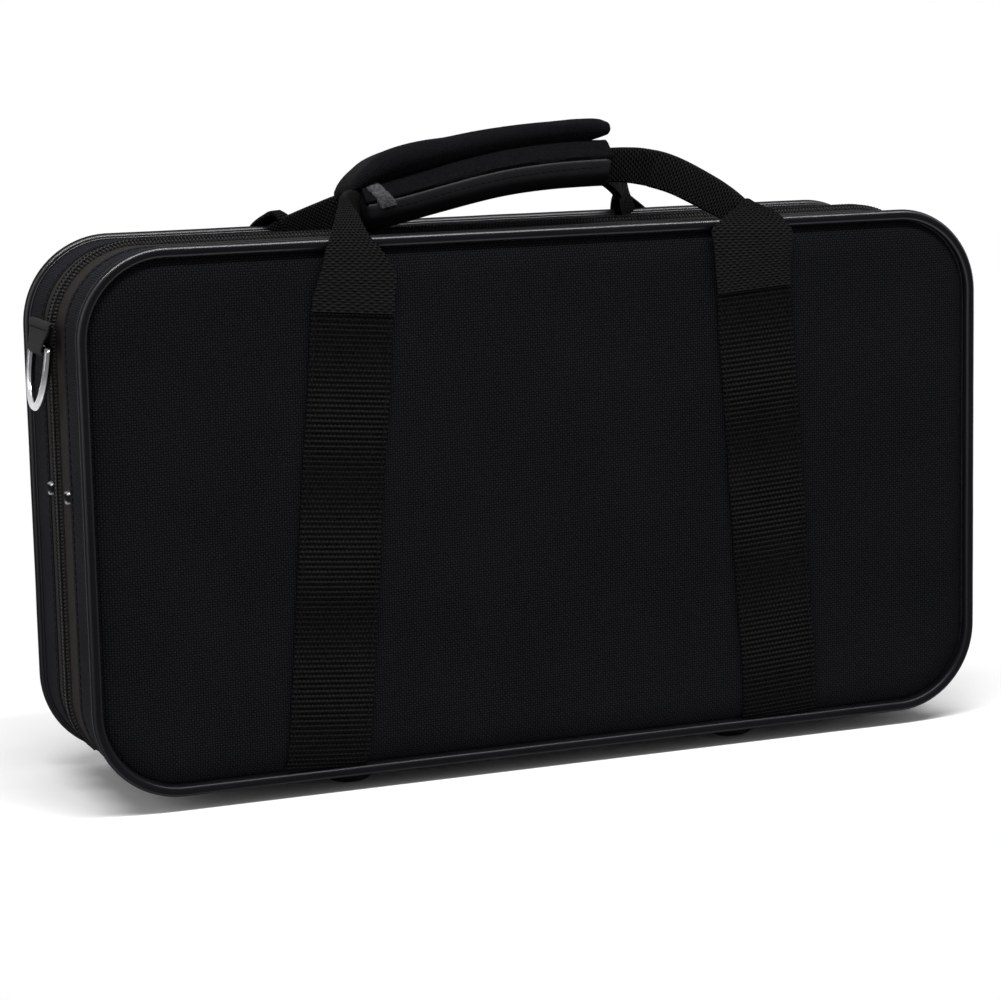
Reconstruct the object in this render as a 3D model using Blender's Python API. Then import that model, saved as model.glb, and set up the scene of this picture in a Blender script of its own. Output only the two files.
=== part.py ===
"""Soft clarinet case that stands on its long edge: two board half shells covered in cloth,
closed by a zip round three sides, hinged along the bottom and carried by two webbing loops.

Metres, +Z up, the front (lid) face towards -Y, the floor at Z = 0.
"""
import math

import bmesh
import bpy
from mathutils import Vector

# Body, measured between the middles of the corded edges.
rim_width = 0.390
rim_height = 0.213
rim_radius = 0.034
rim_spacing = 0.087
piping_radius = 0.0023

# Sheets that make up each half shell, from the outside in.
cloth = 0.001
wall_board = 0.0045
panel_board = 0.0025
panel_crown = 0.0036
crown_run = 0.011
plush = 0.0015
lining_pad = 0.003

# Clearances, and how far a cutter reaches past what it cuts.
seat_gap = 0.0003
cut_overrun = 0.002

# Zip: a tape and a row of coil teeth on each half.
tape_width = 0.0167
tape_thickness = 0.0012
tape_rise = 0.0002
hem_rise = 0.0007
coil_width = 0.004
coil_height = 0.0018
coil_chamfer = 0.0006
slider_length = 0.014
slider_width = 0.0112
slider_plate = 0.0018
slider_level = 0.062
slider_lip = 0.0013
lip_length = 0.0056
bridge_length = 0.006
bridge_width = 0.0024
bridge_height = 0.0032
bridge_bore = 0.0013
pull_length = 0.021
pull_width = 0.0076
pull_thickness = 0.0014
pull_slot_length = 0.0053

# Webbing straps and loops.
webbing_width = 0.034
webbing_thickness = 0.0014
strap_spacing_top = 0.1764
strap_spacing_foot = 0.2044
strap_middle = 0.002
sew_drop = 0.0275
loop_rise = 0.0512

# Grip on the loops.
sleeve_depth = 0.016
sleeve_height = 0.0164
sleeve_offset = 0.009
roll_depth = 0.015
roll_height = 0.0156
roll_offset = 0.0083
grip_left = -0.065
grip_right = 0.041
grip_lead = 0.004
core_width = 0.0124
core_thickness = 0.0044
hook_tape = 0.0008
flap_thickness = 0.0076
flap_length = 0.118
flap_reach = 0.0294
flap_left = -0.0745
seam_lift = 0.0018
flap_angle = math.radians(9)
loop_tape_start = math.radians(82)
loop_tape_end = math.radians(160)

# End fittings.
ring_wire = 0.00175
ring_width = 0.0275
ring_drop = 0.0234
ring_leg = 0.0044
ring_corner = 0.00245
ring_lean = math.radians(8)
tab_height = 0.0125
tab_layer = 0.00095
tab_eye_drop = 0.0385
tab_shoulder = 0.0143
rivet_head = 0.003
rivet_shank = 0.0012
rivet_dome = 0.0012
rivet_edge = 0.0005
rivet_crown = 0.0018
rivet_height = 0.116
rivet_offset = 0.014
stay_width = 0.011
stay_thickness = 0.001
stay_clearance = 0.001
lid_opening = math.radians(95)

# Feet.
foot_radius = 0.0115
foot_height = 0.007
foot_spacing = 0.174
foot_offset = 0.026

# Insert in the rear half and the pad in the lid.
insert_top = 0.002
lining_top = 0.0005
well_floor = 0.036
well_corner = 0.008
well_round = 0.007
well_chamfer = 0.0021
pad_corner = 0.015
pad_thickness = 0.024

corner_steps = 8
well_steps = 4
bar_steps = 3
free_steps = 3
grip_steps = 10
flap_steps = 14
tape_points = 7
ring_sides = 8
round_sides = 16
foot_sides = 20
smooth_angle = math.radians(40)

# How the crown of a face rises: share of the run inward, share of the full rise.
crown_shares = ((0.0, 0.0), (0.35, 0.60), (0.70, 0.90), (1.0, 1.0))

# Worked out from the sizes above.
half_spacing = rim_spacing / 2
parting = seat_gap / 2
board_inset = cloth + seat_gap
board_shoulder = half_spacing - piping_radius - seat_gap
board_inside = board_inset + wall_board
panel_start = piping_radius + seat_gap
fill_inset = board_inside + seat_gap
coil_top = tape_rise + seat_gap + coil_height
hem_edge = tape_width + seat_gap
stand = foot_height + hem_rise + seat_gap
sew_height = rim_height - sew_drop
rim_middle = stand + rim_height / 2
strap_face = board_shoulder + cloth + panel_crown + 2 * seat_gap
end_wall = rim_width / 2
sew_level = stand + sew_height

for existing in list(bpy.data.objects):
    bpy.data.objects.remove(existing, do_unlink=True)


def finish(name, colour, roughness, metallic=0.0):
    """A Principled material with one colour."""
    material = bpy.data.materials.new(name)
    material.use_nodes = True
    shader = material.node_tree.nodes["Principled BSDF"]
    shader.inputs["Base Color"].default_value = (*colour, 1.0)
    shader.inputs["Roughness"].default_value = roughness
    shader.inputs["Metallic"].default_value = metallic
    return material


face_cloth = finish("face_cloth", (0.008, 0.008, 0.009), 0.85)
side_cloth = finish("side_cloth", (0.012, 0.012, 0.014), 0.8)
vinyl = finish("vinyl", (0.010, 0.010, 0.011), 0.35)
webbing = finish("webbing", (0.013, 0.013, 0.014), 0.75)
tape_cloth = finish("tape_cloth", (0.016, 0.015, 0.014), 0.8)
nylon = finish("nylon", (0.012, 0.012, 0.013), 0.4)
foam_board = finish("foam_board", (0.05, 0.05, 0.05), 0.9)
plush_cloth = finish("plush_cloth", (0.02, 0.02, 0.022), 0.95)
grip_leather = finish("grip_leather", (0.012, 0.012, 0.014), 0.45)
fuzzy_tape = finish("fuzzy_tape", (0.02, 0.02, 0.022), 0.95)
chrome = finish("chrome", (0.75, 0.75, 0.76), 0.12, 1.0)
dark_metal = finish("dark_metal", (0.12, 0.12, 0.12), 0.35, 1.0)
foot_rubber = finish("foot_rubber", (0.012, 0.012, 0.012), 0.5)


def place(name, mesh, material, pivot=None):
    """Put a mesh in the scene, with its origin on a pivot where it has one."""
    thing = bpy.data.objects.new(name, mesh)
    bpy.context.scene.collection.objects.link(thing)
    if material:
        mesh.materials.append(material)
    if pivot is not None:
        for vertex in mesh.vertices:
            vertex.co -= pivot
        thing.location = pivot
    return thing


def skin(name, rows, material, looped=False, pivot=None):
    """A closed body through rows of points: each row is a ring with as many points.
    The last row joins the first where looped, and both are filled where not."""
    build = bmesh.new()
    made = [[build.verts.new(point) for point in row] for row in rows]
    count = len(rows[0])
    pairs = list(zip(made, made[1:]))
    if looped:
        pairs.append((made[-1], made[0]))
    else:
        build.faces.new(made[0])
        build.faces.new(list(reversed(made[-1])))
    for near, far in pairs:
        for i in range(count):
            j = (i + 1) % count
            build.faces.new((near[j], near[i], far[i], far[j]))
    bmesh.ops.recalc_face_normals(build, faces=build.faces[:])
    mesh = bpy.data.meshes.new(name)
    build.to_mesh(mesh)
    build.free()
    mesh.shade_smooth()
    mesh.set_sharp_from_angle(angle=smooth_angle)
    return place(name, mesh, material, pivot)


def cutter(thing):
    """Hide a shape that only cuts or joins others."""
    thing.hide_render = True
    thing.display_type = "WIRE"
    return thing


def combine(thing, other, operation):
    """Cut one shape from another, or join it on."""
    step = thing.modifiers.new(operation.lower(), "BOOLEAN")
    step.operation = operation
    step.solver = "EXACT"
    step.object = cutter(other)


def block(name, low, high, material=None):
    """A square-edged block between two corners."""
    (x0, y0, z0), (x1, y1, z1) = low, high
    rows = [[(x, y0, z0), (x, y1, z0), (x, y1, z1), (x, y0, z1)] for x in (x0, x1)]
    return skin(name, rows, material)


def rod(name, start, end, radius, sides, material=None):
    """A round bar between two points."""
    start, end = Vector(start), Vector(end)
    along = (end - start).normalized()
    across = along.orthogonal().normalized()
    over = along.cross(across)
    turns = [math.tau * k / sides for k in range(sides)]
    rows = [
        [point + radius * (math.cos(a) * across + math.sin(a) * over) for a in turns]
        for point in (start, end)
    ]
    return skin(name, rows, material)


def rounded(width, height, radius, inset=0.0, middle=(0.0, 0.0), steps=corner_steps):
    """Points round a rectangle with round corners, anticlockwise from the right side."""
    bend = radius - inset
    across, up = width / 2 - radius, height / 2 - radius
    points = []
    for corner, (side, level) in enumerate(((1, 1), (-1, 1), (-1, -1), (1, -1))):
        for step in range(steps + 1):
            angle = math.pi / 2 * (corner + step / steps)
            points.append((
                middle[0] + side * across + bend * math.cos(angle),
                middle[1] + level * up + bend * math.sin(angle),
            ))
    return points


def rim_row(side, inset, depth):
    """The case's outline, drawn in by an inset, at a depth from the parting plane."""
    outline = rounded(rim_width, rim_height, rim_radius, inset, (0.0, rim_middle))
    return [(x, side * depth, z) for x, z in outline]


def crown_rise(inset):
    """How far a face has risen at a distance in from its edge."""
    share = min(max((inset - panel_start) / crown_run, 0.0), 1.0)
    for (near, low), (far, high) in zip(crown_shares, crown_shares[1:]):
        if share <= far:
            return panel_crown * (low + (high - low) * (share - near) / (far - near))
    return panel_crown


def crown_steps(start, offset):
    """Inset and depth of each ring of a crowned face, from its edge to its middle."""
    insets = [panel_start + share * crown_run for share, _ in crown_shares]
    insets = [start] + [inset for inset in insets if inset > start + seat_gap]
    return [(inset, board_shoulder + offset + crown_rise(inset)) for inset in insets]


def dish(name, side, outer, inner, material):
    """A shell: rings of the outer face, middle first, then of the inner face, middle last."""
    rows = [rim_row(side, inset, depth) for inset, depth in list(reversed(outer)) + list(inner)]
    return skin(name, rows, material)


def rim_strip(name, side, section, part, material):
    """A strip that follows part of the outline: the zip's run or the hinge's run."""
    per_corner = corner_steps + 1
    half = corner_steps // 2
    if part == "zip":
        order = [3 * per_corner + k for k in range(half, per_corner)]
        order += list(range(2 * per_corner + half + 1))
    else:
        order = [2 * per_corner + k for k in range(half, per_corner)]
        order += [3 * per_corner + k for k in range(half + 1)]
    rings = [rim_row(side, inset, depth) for inset, depth in section]
    rows = [[Vector(ring[i]) for ring in rings] for i in order]
    for end, beside in ((rows[0], rows[1]), (rows[-1], rows[-2])):
        for k, point in enumerate(end):
            end[k] = point + (beside[k] - point).normalized() * seat_gap
    return skin(name, rows, material)


def end_point(side, out, y, z):
    """A point beyond an end wall: side -1 is the left end, out is measured from the wall."""
    return Vector((side * (end_wall + out), y, z))


# Half shells: the lid is side -1, the rear half side +1.
def half_shell(prefix, side):
    """Board core, cloths, corded edge, zip half and hinge leaf of one half."""
    core = dish(
        prefix + "_shell_core", side,
        [(board_inset, parting)] + crown_steps(board_inset, 0.0),
        [(board_inside, parting)] + crown_steps(board_inside, -panel_board),
        foam_board,
    )
    dish(
        prefix + "_face_cloth", side,
        crown_steps(panel_start, seat_gap + cloth),
        crown_steps(panel_start, seat_gap),
        face_cloth,
    )
    piping_section = [
        (piping_radius * math.cos(a), half_spacing + piping_radius * math.sin(a))
        for a in (math.tau * k / ring_sides for k in range(ring_sides))
    ]
    rows = [rim_row(side, inset, depth) for inset, depth in piping_section]
    skin(prefix + "_piping", rows, vinyl, looped=True)
    cloth_section = [
        (0.0, board_shoulder), (-hem_rise, hem_edge), (cloth, hem_edge), (cloth, board_shoulder),
    ]
    rows = [rim_row(side, inset, depth) for inset, depth in cloth_section]
    skin(prefix + "_side_cloth", rows, side_cloth, looped=True)
    flat_section = [
        (-tape_rise, parting), (-tape_rise, tape_width),
        (tape_thickness - tape_rise, tape_width), (tape_thickness - tape_rise, parting),
    ]
    tape = rim_strip(prefix + "_zip_tape", side, flat_section, "zip", tape_cloth)
    rim_strip(prefix + "_hinge_leaf", side, flat_section, "hinge", side_cloth)
    coil_low = -tape_rise - seat_gap
    coil_section = [
        (coil_low, parting), (coil_low, coil_width),
        (-coil_top + coil_chamfer, coil_width), (-coil_top, coil_width - coil_chamfer),
        (-coil_top, parting),
    ]
    rim_strip(prefix + "_zip_coil", side, coil_section, "zip", nylon)
    return core, tape


lid_core, lid_tape = half_shell("lid", -1)
rear_core, rear_tape = half_shell("rear", 1)


# Lining and pad of the lid.
lining = dish(
    "lid_lining", -1,
    [(fill_inset, lining_top)] + crown_steps(fill_inset, -panel_board - seat_gap),
    [(fill_inset + plush, lining_top)]
    + crown_steps(fill_inset + plush, -panel_board - seat_gap - lining_pad),
    plush_cloth,
)

# The insert's inside space, and the wells as shares of it: left, right, low, high.
fill_width = rim_width - 2 * fill_inset
fill_height = rim_height - 2 * fill_inset
well_shares = {
    "lower_joint": (0.024, 0.718, 0.050, 0.280),
    "upper_joint": (0.024, 0.638, 0.330, 0.550),
    "bell": (0.745, 0.976, 0.050, 0.610),
    "reeds": (0.024, 0.272, 0.610, 0.950),
    "barrel": (0.299, 0.405, 0.610, 0.950),
    "mouthpiece": (0.432, 0.702, 0.735, 0.950),
    "swab": (0.729, 0.976, 0.660, 0.950),
}
bell_floor = board_shoulder + panel_crown + cut_overrun


def inside_point(across, up):
    """A place in the insert's space from its shares across and up."""
    return (
        (across - 0.5) * fill_width,
        rim_middle + (up - 0.5) * fill_height,
    )


insert = dish(
    "case_insert", 1,
    crown_steps(fill_inset, -panel_board - seat_gap),
    [(fill_inset, insert_top)],
    plush_cloth,
)
for well, (left, right, low, high) in well_shares.items():
    x0, z0 = inside_point(left, low)
    x1, z1 = inside_point(right, high)
    middle = ((x0 + x1) / 2, (z0 + z1) / 2)
    floor = bell_floor if well == "bell" else well_floor
    steps = [
        (0.0, insert_top - cut_overrun), (0.0, floor - well_round),
        (well_chamfer, floor - well_chamfer), (well_round, floor),
    ]
    rows = [
        [(x, depth, z) for x, z in rounded(x1 - x0, z1 - z0, well_corner, inset, middle, well_steps)]
        for inset, depth in steps
    ]
    combine(insert, skin("cut_" + well, rows, None), "DIFFERENCE")

pad_left, pad_low = inside_point(well_shares["lower_joint"][0], well_shares["lower_joint"][2])
pad_right, pad_high = inside_point(well_shares["lower_joint"][1], well_shares["reeds"][3])
pad_middle = ((pad_left + pad_right) / 2, (pad_low + pad_high) / 2)
pad_back = board_shoulder + panel_crown - panel_board - lining_pad - 2 * seat_gap
pad_shares = (
    (0.09, 0.0), (0.02, 0.12), (0.0, 0.35), (0.02, 0.62), (0.12, 0.86), (0.45, 0.97), (0.8, 1.0),
)
rows = [
    [
        (x, -(pad_back - rise * pad_thickness), z)
        for x, z in rounded(
            pad_right - pad_left, pad_high - pad_low, pad_corner, inset * pad_corner, pad_middle,
            well_steps,
        )
    ]
    for inset, rise in pad_shares
]
skin("lid_pad", rows, plush_cloth)


# Lid stays: a strap inside each end, folded down in a U, and its rivets.
rivet_level = stand + rivet_height
stay_reach = 2 * math.hypot(rivet_height, rivet_offset) * math.sin(
    (lid_opening + 2 * math.atan2(rivet_offset, rivet_height)) / 2
)
stay_leg = (stay_reach - 2 * rivet_offset) / 2
stay_inset = fill_inset + plush + stay_clearance
recess_inset = stay_inset + stay_thickness + seat_gap


def stay_strap(name, end):
    """A strap folded down flat against the end wall, from rivet to rivet."""
    top = rivet_level + stay_width / 2
    bend = rivet_offset
    centre = rivet_level - stay_leg + bend
    path = [(rivet_offset, top, 0.0)]
    for k in range(corner_steps + 1):
        angle = math.pi * k / corner_steps
        path.append((bend * math.cos(angle), centre - bend * math.sin(angle), angle))
    path.append((-rivet_offset, top, math.pi))
    rows = []
    for y, z, angle in path:
        across = Vector((0.0, math.cos(angle), -math.sin(angle))) * stay_width / 2
        thick = Vector((-end * stay_thickness, 0.0, 0.0))
        spot = end_point(end, -stay_inset, y, z)
        rows.append([spot - across, spot + across, spot + across + thick, spot - across + thick])
    skin(name, rows, webbing)


def rivet(name, end, side):
    """A domed head outside the tape, and a shank through tape, board and lining."""
    head_low = tape_rise + seat_gap
    profile = [
        (rivet_shank, -(fill_inset + plush)), (rivet_shank, head_low), (rivet_head, head_low),
        (rivet_head, head_low + rivet_edge), (rivet_crown, head_low + rivet_dome),
    ]
    rows = []
    for radius, out in profile:
        spot = end_point(end, out, side * rivet_offset, rivet_level)
        turns = [math.tau * k / round_sides for k in range(round_sides)]
        rows.append([
            spot + radius * Vector((0.0, math.cos(a), math.sin(a))) for a in turns
        ])
    skin(name, rows, dark_metal)


def rivet_bore(name, side):
    """Two bores through both ends of one half."""
    parts = []
    for end in (-1, 1):
        parts.append(rod(
            name + ("_left" if end < 0 else "_right"),
            end_point(end, cut_overrun, side * rivet_offset, rivet_level),
            end_point(end, -recess_inset - cut_overrun, side * rivet_offset, rivet_level),
            rivet_shank + seat_gap, round_sides,
        ))
    return parts


for bored, side in ((lid_core, -1), (lid_tape, -1), (lining, -1), (rear_core, 1), (rear_tape, 1)):
    for bore in rivet_bore("cut_bore_" + bored.name, side):
        combine(bored, bore, "DIFFERENCE")

for end, where in ((-1, "left"), (1, "right")):
    stay_strap("stay_strap_" + where, end)
    rivet("stay_rivet_lid_" + where, end, -1)
    rivet("stay_rivet_rear_" + where, end, 1)
    near = end_point(end, -fill_inset + cut_overrun, insert_top - cut_overrun, 0.0)
    far = end_point(end, -recess_inset, rivet_offset + stay_width / 2 + 2 * seat_gap, 0.0)
    recess = block(
        "cut_recess_" + where,
        (min(near.x, far.x), near.y, rivet_level - stay_leg - stay_width),
        (max(near.x, far.x), far.y, rivet_level + stay_width),
    )
    combine(insert, recess, "DIFFERENCE")


# Webbing straps sewn down both faces.
def strap_middle_at(end, height):
    """The middle of a strap across the case, at a height over the lower corded edge."""
    share = height / sew_height
    spacing = strap_spacing_foot + (strap_spacing_top - strap_spacing_foot) * share
    return strap_middle * share + end * spacing / 2


def sewn_strap(name, side, end):
    """A strap that follows the crowned face from the lower cord to the sew line."""
    stations = crown_steps(panel_start, 2 * seat_gap + cloth)
    stations.append((sew_height, strap_face))
    rows = []
    for height, depth in stations:
        x = strap_middle_at(end, height)
        z = stand + height
        near, far = side * depth, side * (depth + webbing_thickness)
        half = webbing_width / 2
        rows.append([(x - half, near, z), (x + half, near, z), (x + half, far, z), (x - half, far, z)])
    skin(name, rows, webbing)


for prefix, side in (("lid", -1), ("rear", 1)):
    for end, where in ((-1, "left"), (1, "right")):
        sewn_strap(f"{prefix}_strap_{where}", side, end)


# Carrying loops. The grip sags to the left: share of the strap spacing, share of the rise.
grip_line_shares = (
    (-0.75, 0.725), (-0.57, 0.785), (-0.41, 0.845), (-0.20, 0.920),
    (-0.03, 0.965), (0.18, 0.995), (0.36, 1.005), (0.52, 1.005),
)
loop_half = strap_spacing_top / 2


def smooth(points, steps):
    """A Catmull-Rom curve through rows of numbers."""
    curve = []
    last = len(points) - 1
    for k in range(last):
        before, start = points[max(k - 1, 0)], points[k]
        end, after = points[k + 1], points[min(k + 2, last)]
        for step in range(steps):
            t = step / steps
            curve.append(tuple(
                0.5 * (2 * b + (c - a) * t + (2 * a - 5 * b + 4 * c - d) * t ** 2
                       + (3 * b - a - 3 * c + d) * t ** 3)
                for a, b, c, d in zip(before, start, end, after)
            ))
    curve.append(tuple(points[-1]))
    return curve


def grip_height(x):
    """Height of the grip's middle line at a place across the case."""
    places = [(share_x * loop_half, share_z * loop_rise) for share_x, share_z in grip_line_shares]
    curve = smooth(places, corner_steps)
    for (x0, z0), (x1, z1) in zip(curve, curve[1:]):
        if x <= x1:
            return sew_level + z0 + (z1 - z0) * (x - x0) / (x1 - x0)
    return sew_level + curve[-1][1]


# Stations of the free webbing: across, depth and height as shares of the strap spacing, of the
# sewn strap's depth and of the rise, width and thickness as shares of flat webbing, then the
# direction of its width.
front_left_shares = (
    (-0.977, 1.000, 0.008, 1.00, 1.00, (1.00, 0.00, 0.00)),
    (-0.955, 1.002, 0.280, 1.00, 1.00, (1.00, 0.00, 0.00)),
    (-0.928, 1.012, 0.480, 0.92, 1.20, (1.00, 0.00, 0.00)),
    (-0.905, 1.000, 0.690, 0.72, 1.60, (1.00, 0.00, 0.00)),
    (-0.875, 0.820, 0.800, 0.54, 2.30, (0.60, 0.35, 0.70)),
    (-0.835, 0.540, 0.780, 0.45, 2.40, (0.25, 0.25, 0.93)),
)
front_right_shares = (
    (0.620, 0.215, 1.000, 0.45, 2.40, (0.00, 0.10, 1.00)),
    (0.770, 0.340, 0.930, 0.47, 2.40, (-0.10, 0.20, 0.95)),
    (0.890, 0.560, 0.820, 0.49, 2.40, (-0.30, 0.25, 0.85)),
    (0.965, 0.830, 0.775, 0.58, 2.10, (-0.70, 0.20, 0.50)),
    (0.998, 1.000, 0.665, 0.76, 1.50, (-1.00, 0.00, 0.00)),
    (1.006, 1.012, 0.480, 0.94, 1.15, (-1.00, 0.00, 0.00)),
    (1.014, 1.002, 0.280, 1.00, 1.00, (-1.00, 0.00, 0.00)),
    (1.023, 1.000, 0.008, 1.00, 1.00, (-1.00, 0.00, 0.00)),
)
rear_left_shares = (
    (-0.977, 1.000, 0.008, 1.00, 1.00, (1.00, 0.00, 0.00)),
    (-0.960, 1.002, 0.280, 1.00, 1.00, (1.00, 0.00, 0.00)),
    (-0.940, 1.012, 0.480, 0.94, 1.15, (1.00, 0.00, 0.00)),
    (-0.930, 1.000, 0.670, 0.80, 1.40, (1.00, 0.00, 0.00)),
    (-0.895, 0.790, 0.765, 0.56, 2.20, (0.75, 0.20, 0.50)),
    (-0.835, 0.510, 0.728, 0.43, 2.40, (0.30, 0.25, 0.90)),
)
rear_right_shares = (
    (0.590, 0.185, 0.990, 0.42, 2.40, (0.00, 0.10, 1.00)),
    (0.720, 0.320, 0.900, 0.45, 2.40, (-0.20, 0.20, 0.95)),
    (0.830, 0.560, 0.780, 0.47, 2.40, (-0.40, 0.25, 0.80)),
    (0.910, 0.810, 0.760, 0.56, 2.10, (-0.75, 0.20, 0.50)),
    (0.965, 1.000, 0.660, 0.76, 1.50, (-1.00, 0.00, 0.00)),
    (0.995, 1.012, 0.480, 0.94, 1.15, (-1.00, 0.00, 0.00)),
    (1.008, 1.002, 0.280, 1.00, 1.00, (-1.00, 0.00, 0.00)),
    (1.023, 1.000, 0.008, 1.00, 1.00, (-1.00, 0.00, 0.00)),
)
webbing_depth = strap_face + webbing_thickness / 2


def grip_middles(offset):
    """Points along the grip's middle line."""
    places = [grip_left + (grip_right - grip_left) * k / grip_steps for k in range(grip_steps + 1)]
    return [Vector((x, offset, grip_height(x))) for x in places]


def free_stations(side, table):
    """The stations of free webbing in metres."""
    return [
        (
            across * loop_half, side * depth * webbing_depth, sew_level + up * loop_rise,
            width * webbing_width, thick * webbing_thickness, lie[0], side * lie[1], lie[2],
        )
        for across, depth, up, width, thick, lie in table
    ]


def loop_stations(side, left, right, grip_offset):
    """The stations of a whole loop: free webbing, straight through the grip, free webbing."""
    lie = (core_width, core_thickness, 0.0, 0.0, 1.0)
    enter, leave = grip_left - grip_lead, grip_right + grip_lead
    inside = [(*spot, *lie) for spot in grip_middles(side * grip_offset)]
    enter = (enter, side * grip_offset, grip_height(enter), *lie)
    leave = (leave, side * grip_offset, grip_height(leave), *lie)
    rows = smooth(free_stations(side, left) + [enter], free_steps)
    return rows + inside + smooth([leave] + free_stations(side, right), free_steps)


def webbing_loop(name, side, left, right, grip_offset, pivot):
    """Free webbing from one sew line through the grip to the other."""
    stations = loop_stations(side, left, right, grip_offset)
    spots = [Vector(row[:3]) for row in stations]
    rows = []
    for k, row in enumerate(stations):
        width, thick = row[3], row[4]
        ahead = spots[min(k + 1, len(spots) - 1)] - spots[max(k - 1, 0)]
        ahead = Vector((0.0, 0.0, 1.0 if k == 0 else -1.0)) if k in (0, len(spots) - 1) else ahead
        ahead.normalize()
        across = Vector(row[5:8])
        across = (across - across.dot(ahead) * ahead).normalized()
        over = ahead.cross(across).normalized()
        a, b = across * width / 2, over * thick / 2
        rows.append([spots[k] - a - b, spots[k] + a - b, spots[k] + a + b, spots[k] - a + b])
    return skin(name, rows, webbing, pivot=pivot)


def oval(middle, depth, height, start=0.0, end=math.tau, count=round_sides):
    """Points round an oval in an upright plane across the grip."""
    whole = end - start >= math.tau
    steps = count if whole else count - 1
    angles = [start + (end - start) * k / steps for k in range(count)]
    return [
        middle + Vector((0.0, depth / 2 * math.cos(a), height / 2 * math.sin(a))) for a in angles
    ]


def grip_tube(name, offset, depth, height, material, pivot):
    """A padded tube on the webbing, with a flat oval bore for it."""
    middles = grip_middles(offset)
    outer = [oval(spot, depth, height) for spot in middles]
    slot_depth, slot_height = core_thickness / 2 + seat_gap, core_width / 2 + seat_gap
    inner = [slot_ring(spot, slot_depth, slot_height) for spot in middles]
    return skin(name, outer + list(reversed(inner)), material, looped=True, pivot=pivot)


def slot_ring(middle, half_depth, half_height):
    """Points round a flat slot, as many as round an oval."""
    points = []
    for k in range(round_sides):
        angle = math.tau * k / round_sides
        y, z = math.cos(angle), math.sin(angle)
        reach = max(abs(y), abs(z))
        points.append(middle + Vector((0.0, half_depth * y / reach, half_height * z / reach)))
    return points


sew_pivot_front = Vector((0.0, -(strap_face + webbing_thickness), sew_level))
sew_pivot_rear = Vector((0.0, strap_face + webbing_thickness, sew_level))
webbing_loop(
    "front_loop_webbing", -1, front_left_shares, front_right_shares, sleeve_offset, sew_pivot_front
)
webbing_loop(
    "rear_loop_webbing", 1, rear_left_shares, rear_right_shares, roll_offset, sew_pivot_rear
)
grip_tube(
    "front_grip_sleeve", -sleeve_offset, sleeve_depth, sleeve_height, grip_leather, sew_pivot_front
)
grip_tube(
    "rear_grip_roll", roll_offset, roll_depth, roll_height, grip_leather, sew_pivot_rear
)

# Loop tape on the sleeve's upper front.
rows = []
for spot in grip_middles(-sleeve_offset):
    faces = []
    for grown in (2 * seat_gap, 2 * seat_gap + 2 * hook_tape):
        depth, height = sleeve_depth + grown, sleeve_height + grown
        faces.append(oval(spot, depth, height, loop_tape_start, loop_tape_end, tape_points))
    rows.append(faces[0] + list(reversed(faces[1])))
skin("grip_loop_tape", rows, fuzzy_tape, pivot=sew_pivot_front)

# Flap: a padded plate from a seam on the rear roll, rising to the front over the sleeve.
flap_edge = flap_thickness / 2
seam_offset = roll_offset + roll_depth / 2 - flap_edge - seat_gap
seam_rise = roll_height / 2 + flap_edge + seat_gap * 2
droop_shares = ((0.0, -0.50), (0.05, -0.25), (0.12, -0.08), (0.25, 0.0), (0.85, 0.0), (1.0, -0.12))
thin_shares = ((0.0, 0.62), (0.06, 0.9), (0.14, 1.0), (0.94, 1.0), (1.0, 0.7))
seam_slope = (grip_height(grip_right) - grip_height(grip_left)) / (grip_right - grip_left)
seam_level = grip_height(grip_left) - seam_slope * grip_left + seam_rise + seam_lift
seam_pivot = Vector((0.0, seam_offset, seam_level))


def share_at(table, share):
    """Straight-line value in a table of shares."""
    for (near, low), (far, high) in zip(table, table[1:]):
        if share <= far:
            return low + (high - low) * (share - near) / (far - near)
    return table[-1][1]


hook_shares = (0.30, 0.92)
forward = Vector((0.0, -math.cos(flap_angle), math.sin(flap_angle)))
upward = Vector((0.0, math.sin(flap_angle), math.cos(flap_angle)))
rows = []
hook_rows = []
for k in range(flap_steps + 1):
    share = k / flap_steps
    x = flap_left + share * flap_length
    lift = share_at(droop_shares, share) * flap_thickness
    edge = flap_edge * share_at(thin_shares, share)
    base = Vector((x, seam_offset, grip_height(max(x, grip_left)) + seam_rise + lift))
    ring = []
    for j in range(corner_steps + 1):
        angle = -math.pi / 2 - math.pi * j / corner_steps
        ring.append(base + edge * (math.cos(angle) * forward + math.sin(angle) * upward))
    front = base + forward * (flap_reach - 2 * flap_edge)
    for j in range(corner_steps + 1):
        angle = math.pi / 2 - math.pi * j / corner_steps
        ring.append(front + edge * (math.cos(angle) * forward + math.sin(angle) * upward))
    rows.append(ring)
    if 1 < k < flap_steps:
        reach = [base + forward * (flap_reach - 2 * flap_edge) * part for part in hook_shares]
        under = [-upward * (edge + seat_gap), -upward * (edge + seat_gap + hook_tape)]
        hook_rows.append([
            reach[0] + under[0], reach[1] + under[0], reach[1] + under[1], reach[0] + under[1],
        ])
skin("grip_flap", rows, grip_leather, pivot=seam_pivot)
skin("flap_hook_tape", hook_rows, fuzzy_tape, pivot=seam_pivot)


# Domed feet under both halves.
foot_shares = ((1.0, 0.0), (1.0, 0.2), (0.9, 0.6), (0.7, 0.88), (0.45, 1.0))
for prefix, side in (("lid", -1), ("rear", 1)):
    for end, where in ((-1, "left"), (1, "right")):
        rows = []
        for width, down in foot_shares:
            turns = [math.tau * k / foot_sides for k in range(foot_sides)]
            rows.append([
                (
                    end * foot_spacing / 2 + foot_radius * width * math.cos(a),
                    side * foot_offset + foot_radius * width * math.sin(a),
                    foot_height * (1 - down),
                )
                for a in turns
            ])
        skin(f"{prefix}_foot_{where}", rows, foot_rubber)


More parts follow.
